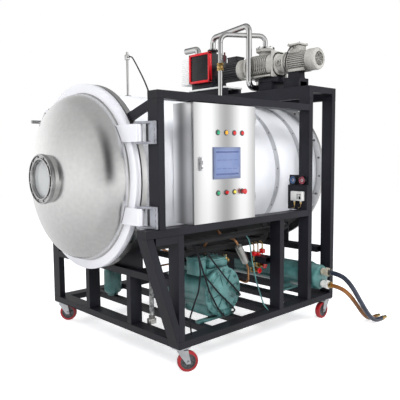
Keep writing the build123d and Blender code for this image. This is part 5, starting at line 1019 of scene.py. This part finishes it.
controller += [rod(at(1366, y, 874), DOWN, [(0, 8), (10, 8)], 24) for y in (50, 112)]
piece("controller_case", controller, white_fitting)
scales = [box(1349.2, y, z, 2, dy, dz, 0.5)
          for y, z, dy, dz in ((40, 886, 20, 26), (40, 918, 8, 14), (52, 918, 8, 14), (70, 886, 8, 46))]
piece("controller_scales", scales, gauge_black)
unions = []
for y, down in ((50, 16), (112, 30)):
    capillary = [(1366, y, 864 - down), (1366, y, 838 - down), (1366, y + 30, 812), (1384, y + 34, 806)]
    unions += [rod(at(1366, y, 864), DOWN, [(0, 9), (12, 9), (12, 6), (down, 6)], 6), pipe(capillary, 2.4, 12, 12)]
piece("controller_unions", unions, brass)

# ==================== Vacuum set ====================
# A Roots pump with its flanged motor and a dry backing pump stand in line on the platform, cast iron painted warm
# grey and black. Polished stainless pipes join them to the chamber through a brass ball valve.
LINE_X, AXIS_Z = 1590.0, 2035.0
# The warm grey cast iron is darkened in its corners and gaps: painted shade.
cast_grey = finish("cast_grey", (0.29, 0.28, 0.25), (0.55, 0.54, 0.5), rough=(0.4, 0.55), cloud=7, grain=420,
                   relief=0.3, dust=0.1, corner_shade=0.3)
cast_black = finish("cast_black", (0.006, 0.006, 0.008), (0.024, 0.024, 0.028), rough=(0.32, 0.48), cloud=8,
                    grain=420, relief=0.3, dust=0.25)
panel_red = finish("panel_red", (0.52, 0.001, 0.007), (0.76, 0.004, 0.014), rough=(0.25, 0.35), coat=0.1)
louvre_white = finish("louvre_white", (0.74, 0.74, 0.73), (0.88, 0.88, 0.87), rough=(0.4, 0.55), dust=0.1)
# The pipe steel is painted darker towards its edges as seen from the eye: painted shade.
pipe_steel = finish("pipe_steel", 0.62, (0.84, 0.84, 0.83), 1.0, (0.05, 0.1), cloud=6, relief=0.02, rim=0.12)
sleeve_red = finish("sleeve_red", (0.035, 0.004, 0.006), (0.1, 0.01, 0.014), rough=(0.3, 0.45))


def on_line(y, out=0.0, up=0.0):
    """A point on the pumps' axis at this distance in, moved across and up."""
    return at(LINE_X + out, y, AXIS_Z + up)


gear_case = [(440, -40), (440, 0), (466, 0), (470, -4), (520, -4), (524, -10), (530, -10)]
ribbed = [(530, -12), (530, 0), (538, 0), (539.5, -9)]
for start in range(551, 728, 22):
    ribbed += [(start, -9), (start + 1.4, -0.5), (start + 8.6, -0.5), (start + 10, -9)]
ribbed += [(752, -9), (752, 0), (774, 0), (780, -5), (780, -40)]
lantern = [(345, -60), (345, -14), (352, -12), (360, -14), (366, -32), (424, -32), (436, -14), (442, -12), (442, -60)]
window_line = [(-14, 0), (-14, 17), (-2, 17), (-2, 24), (4, 26), (8, 24), (8, 19), (0, 18), (-10, 17), (-10, 0)]
neck_line = [(0, 58), (26, 55), (34, 62), (41, 70), (41, 80), (43, 82), (61, 82), (63, 80), (63, 18.6), (0, 18.6)]
roots = [
    *(along_y((LINE_X, AXIS_Z), (110, 104), 90, stations, 128) for stations in (lantern, gear_case, ribbed)),
    box(LINE_X - 108, 440, AXIS_Z - 112, 216, 22, 224, 8),
    turned(on_line(394, -84), FORE, window_line, 40),
    hoop(at(LINE_X, 610, 2120), UP, neck_line, 72),
    rod(at(LINE_X, 681, 1940), DOWN, [(0, 40), (28, 40), (29, 39)], 48),
    box(LINE_X - 108, 466, 1931, 216, 300, 16, 4),
]
piece("roots_case", roots, cast_grey, instead="roots_pump")
# A black disc closes the lantern's window: painted shade for the dark space inside.
piece("lantern_window_shade", rod(on_line(394, -84), FORE, [(-9, 17), (-8, 17)], 32), gauge_black)
turns = (np.arange(18) + 0.5) * 2 * pi / 18
case_bolts = [on_line(530, *(np.sign(wave) * reach + wave * 84 for wave, reach in ((cos(turn), 20), (sin(turn), 14))))
              for turn in turns]
flange_bolts = circle(at(LINE_X, 610, 2199), UP, 67, 8, 22.5)
piece("roots_bolts", [bolts(6, 6, case_bolts, OUT), bolts(7, 7, flange_bolts)], screw_steel)
side_screws = [on_line(start, -101, up) for start in range(567, 740, 22) for up in (-34, 0)]
piece("rib_screws", bolts(5, 5, side_screws, FORE), screw_steel)


def finned(start, end, root, tip, fins):
    """A motor's frame along the pumps' axis: its radius steps between root and tip for each axial fin."""
    step = np.arange(4 * fins)
    angle = step * 2 * pi / (4 * fins)
    ways = np.stack([np.cos(angle), 0 * angle, np.sin(angle)], 1)
    spread = np.where(step % 4 < 2, tip, root)[:, None] / 1000 * ways
    return capped([on_line(y) + size * spread for y, size in ((start, 0.2), (start, 1), (end, 1), (end, 0.2))])


bell = [(0, 84), (4, 88), (12, 88), (16, 80), (34, 80), (36, 84), (40, 84)]
motor = [
    finned(122, 320, 74, 83.5, 30),
    rod(on_line(345), OUT, bell, 72),
    box(LINE_X - 50, 201, 2100, 100, 110, 66, 8),
    box(LINE_X - 60, 191, 2166, 120, 130, 15, 4),
    bolts(4.5, 3, [at(x, y, 2183) for x in (1538, 1642) for y in (199, 313)]),
    *(box(LINE_X + x, 150, 1948, 24, 170, 26, 6) for x in (-60, 36)),
    turned(at(1542, 250, 2150), FORE, [(0, 0), (0, 11), (8, 11), (9, 9), (16, 8), (16, 0)], 6),
]
piece("roots_motor_frame", motor, cast_grey, instead="roots_motor")
cowl = [(128, 84), (128, 89), (127, 90), (54, 90), (45, 87), (40, 80), (38, 72), (38, 59), (40, 59), (40, 71),
        (43, 79), (48, 85), (56, 87.5), (126, 87.5), (126, 84)]
guard = [hoop(on_line(39), IN, [(0, r - 1.1), (0, r + 1.1), (1.6, r + 1.1), (1.6, r - 1.1)], 64)
         for r in (8, 18, 28, 38, 48, 58)]
fan_cowl = [hoop(on_line(0), IN, cowl), *spokes(on_line(39), IN, 6, 60, 1.2, 1.6), *guard]
piece("fan_cowl", fan_cowl, cast_grey)
eased("motor_fan", 0.6, black_grip, "fan")

backing_bell = [(0, 78), (5, 88), (12, 93.5), (34, 94), (36, 92)]
piece("backing_cowl", rod(on_line(850), IN, backing_bell, 72), cast_grey)
block_front = [(1200, -20), (1200, -2), (1202, 0), (1226, 0), (1228, -5), (1472, -5), (1474, 0), (1498, 0),
               (1500, -2), (1500, -20)]
outlet_line = [(0, 42), (8, 37), (30, 36), (34, 42), (34, 53), (36, 54), (49, 54), (50, 53)]
backing_pump = [
    finned(884, 1112, 84, 93.5, 26),
    rod(on_line(1110), IN, [(0, 92), (14, 94), (15, 80), (30, 78), (92, 78)], 72),
    box(LINE_X - 55, 910, 2110, 110, 120, 50, 8),
    box(LINE_X - 55, 906, 2152, 110, 128, 13, 4),
    along_y((1605, 2092.5), (105, 137.5), 14, block_front),
    *(box(1500.5, 1236 + 25 * step, 1975, 209, 7, 250, 3) for step in range(10)),
    rod(at(LINE_X, 1275, 2226), UP, outlet_line, 64),
]
piece("backing_pump_case", backing_pump, cast_black, instead="vacuum_pump")
panel = [box(1462, y, 1955, 38, 22, 286, 4) for y in (1200, 1470)]
panel += [box(1462, 1200, z, 38, 292, 22, 4) for z in (1955, 2219)]
piece("panel_frame", panel, panel_red, instead="pump_cover")
piece("panel_black", box(1471, 1212, 1967, 28, 268, 262, 2), gauge_black)
panel_corners = [at(1462.5, y, z) for y in (1211, 1481) for z in (1966, 2230)]
button = rod((0, 0, 0), UP, [(0, 5), (1.5, 4.6), (2.4, 3)], 16)
piece("panel_screws", many(button, panel_corners, FORE), screw_steel)
louvres = [box(1497.5, 1510, 1972 + 20 * step, 8, 130, 11, 2.5) for step in range(12)]
piece("filter_case", [box(1500, 1500, 1955, 210, 150, 262, 5), *louvres], louvre_white)

stand_line = [(350, 1800), (350, 1890), (324, 1905), (320, 1962), (215, 1962), (212, 1905), (190, 1862), (190, 1800)]
stands = [
    slab([at(LINE_X - 45, y, z) for y, z in stand_line], REAR, 90),
    box(1520, 190, 1800, 140, 160, 92, 4),
    box(1495, 459, 1800, 190, 150, 80, 4),
    box(1510, 400, 1880, 160, 220, 42, 4),
    box(1540, 440, 1918, 100, 150, 24, 3),
    *(box(x, 1000, 1800, 40, 500, 82, 3) for x in (1480, 1660)),
    box(1510, 1200, 1893, 190, 300, 64, 3),
    bolts(8, 9, [at(x, y, 1880) for x in (1503, 1677) for y in (470, 600)]),
]
piece("pump_stands", stands, frame_paint, instead="pump_supports")
piece("bed_plate", box(1465, 1000, 1879.5, 250, 500, 16, 3), louvre_white)

RISER, HANDLE_Z = (1233, 825), 2023
INLET, OUTLET, EXHAUST = (LINE_X, 610), (LINE_X, 681), (LINE_X, 1275)
flange = [(0, 20), (0, 81), (1, 82), (15, 82), (16, 81), (16, 24), (22, 22), (22, 20)]
clamp_ring = [(0, 20), (0, 43), (2, 44), (5, 44), (7, 42), (7, 44), (12, 44), (14, 43), (14, 20)]
vacuum_lines = [
    pipe([(*RISER, 1640), (*RISER, 1992)], 21, count=40),
    pipe([(*RISER, 2054), (*RISER, 2305), (*INLET, 2305), (*INLET, 2190)], 21, 70, 40),
    pipe([(*OUTLET, 1915), (*OUTLET, 1849), (1450, 681, 1849), (1450, 681, 2393), (*EXHAUST, 2393), (*EXHAUST, 2272)],
         26, 62, 40),
    pipe([(1545, 1440, 2226), (1545, 1440, 2305), (1545, 1620, 2305)], 30, 55, 40, 27.5),
    hoop(at(*INLET, 2183), UP, flange, 72),
    hoop(at(*RISER, 1700), UP, clamp_ring, 56),
    hoop(at(*EXHAUST, 2276), UP, [(0, 24), (0, 40), (2, 42), (10, 42), (12, 40), (12, 24)], 56),
    *(hoop(at(*RISER, z), UP, [(0, 20), (0, 22), (2, 22.8), (4, 22), (4, 20)], 32) for z in (1722, 1972, 2076, 2230)),
]
piece("vacuum_lines", vacuum_lines, pipe_steel, instead="vacuum_pipes")
valve_union = [(0, 0), (0, 29), (3, 31), (12, 31), (15, 28), (18, 0)]
ball_valve = [
    turned(at(*RISER, 1990), UP, valve_union, 8),
    turned(at(*RISER, 2056), DOWN, valve_union, 8),
    rod(at(*RISER, 2006), UP, [(0, 26), (6, 30), (28, 30), (34, 26)], 48),
    turned(at(1233, 800, HANDLE_Z), OUT, [(0, 0), (0, 16), (8, 14), (18, 14), (19, 12), (19, 5.2), (0, 5.2)], 32),
]
piece("ball_valve", ball_valve, brass)
lever_line = [(-12, -12), (12, -12), (12, 10), (8, 18), (8, 112), (5, 120), (-5, 120), (-8, 112), (-8, 18), (-12, 10)]
lever = [slab([at(1233 + x, 776, HANDLE_Z + z) for x, z in lever_line], OUT, 5),
         rod(at(1233, 789, HANDLE_Z), OUT, [(0, 5), (12, 5), (12, 9), (17, 9), (17.5, 8)], 6)]
piece("lever_arm", lever, screw_steel, "lever", "valve_lever", edge=1)
piece("lever_sleeve", box(1224, 769.5, 2060, 18, 8, 83, 3), sleeve_red, "lever")
mast = [pipe([(228, 825, 1640), (228, 825, 2030)], 9, count=32),
        hoop(at(228, 825, 1697), UP, [(0, 9), (0, 24), (2, 25), (8, 25), (10, 22), (10, 9)], 32),
        rod(at(228, 811, 1992), OUT, [(0, 10), (6, 10), (7, 8), (13, 7), (14, 5.2)], 6),
        box(213, 810, 1970, 30, 30, 40, 5)]
piece("probe_mast", mast, pipe_steel)
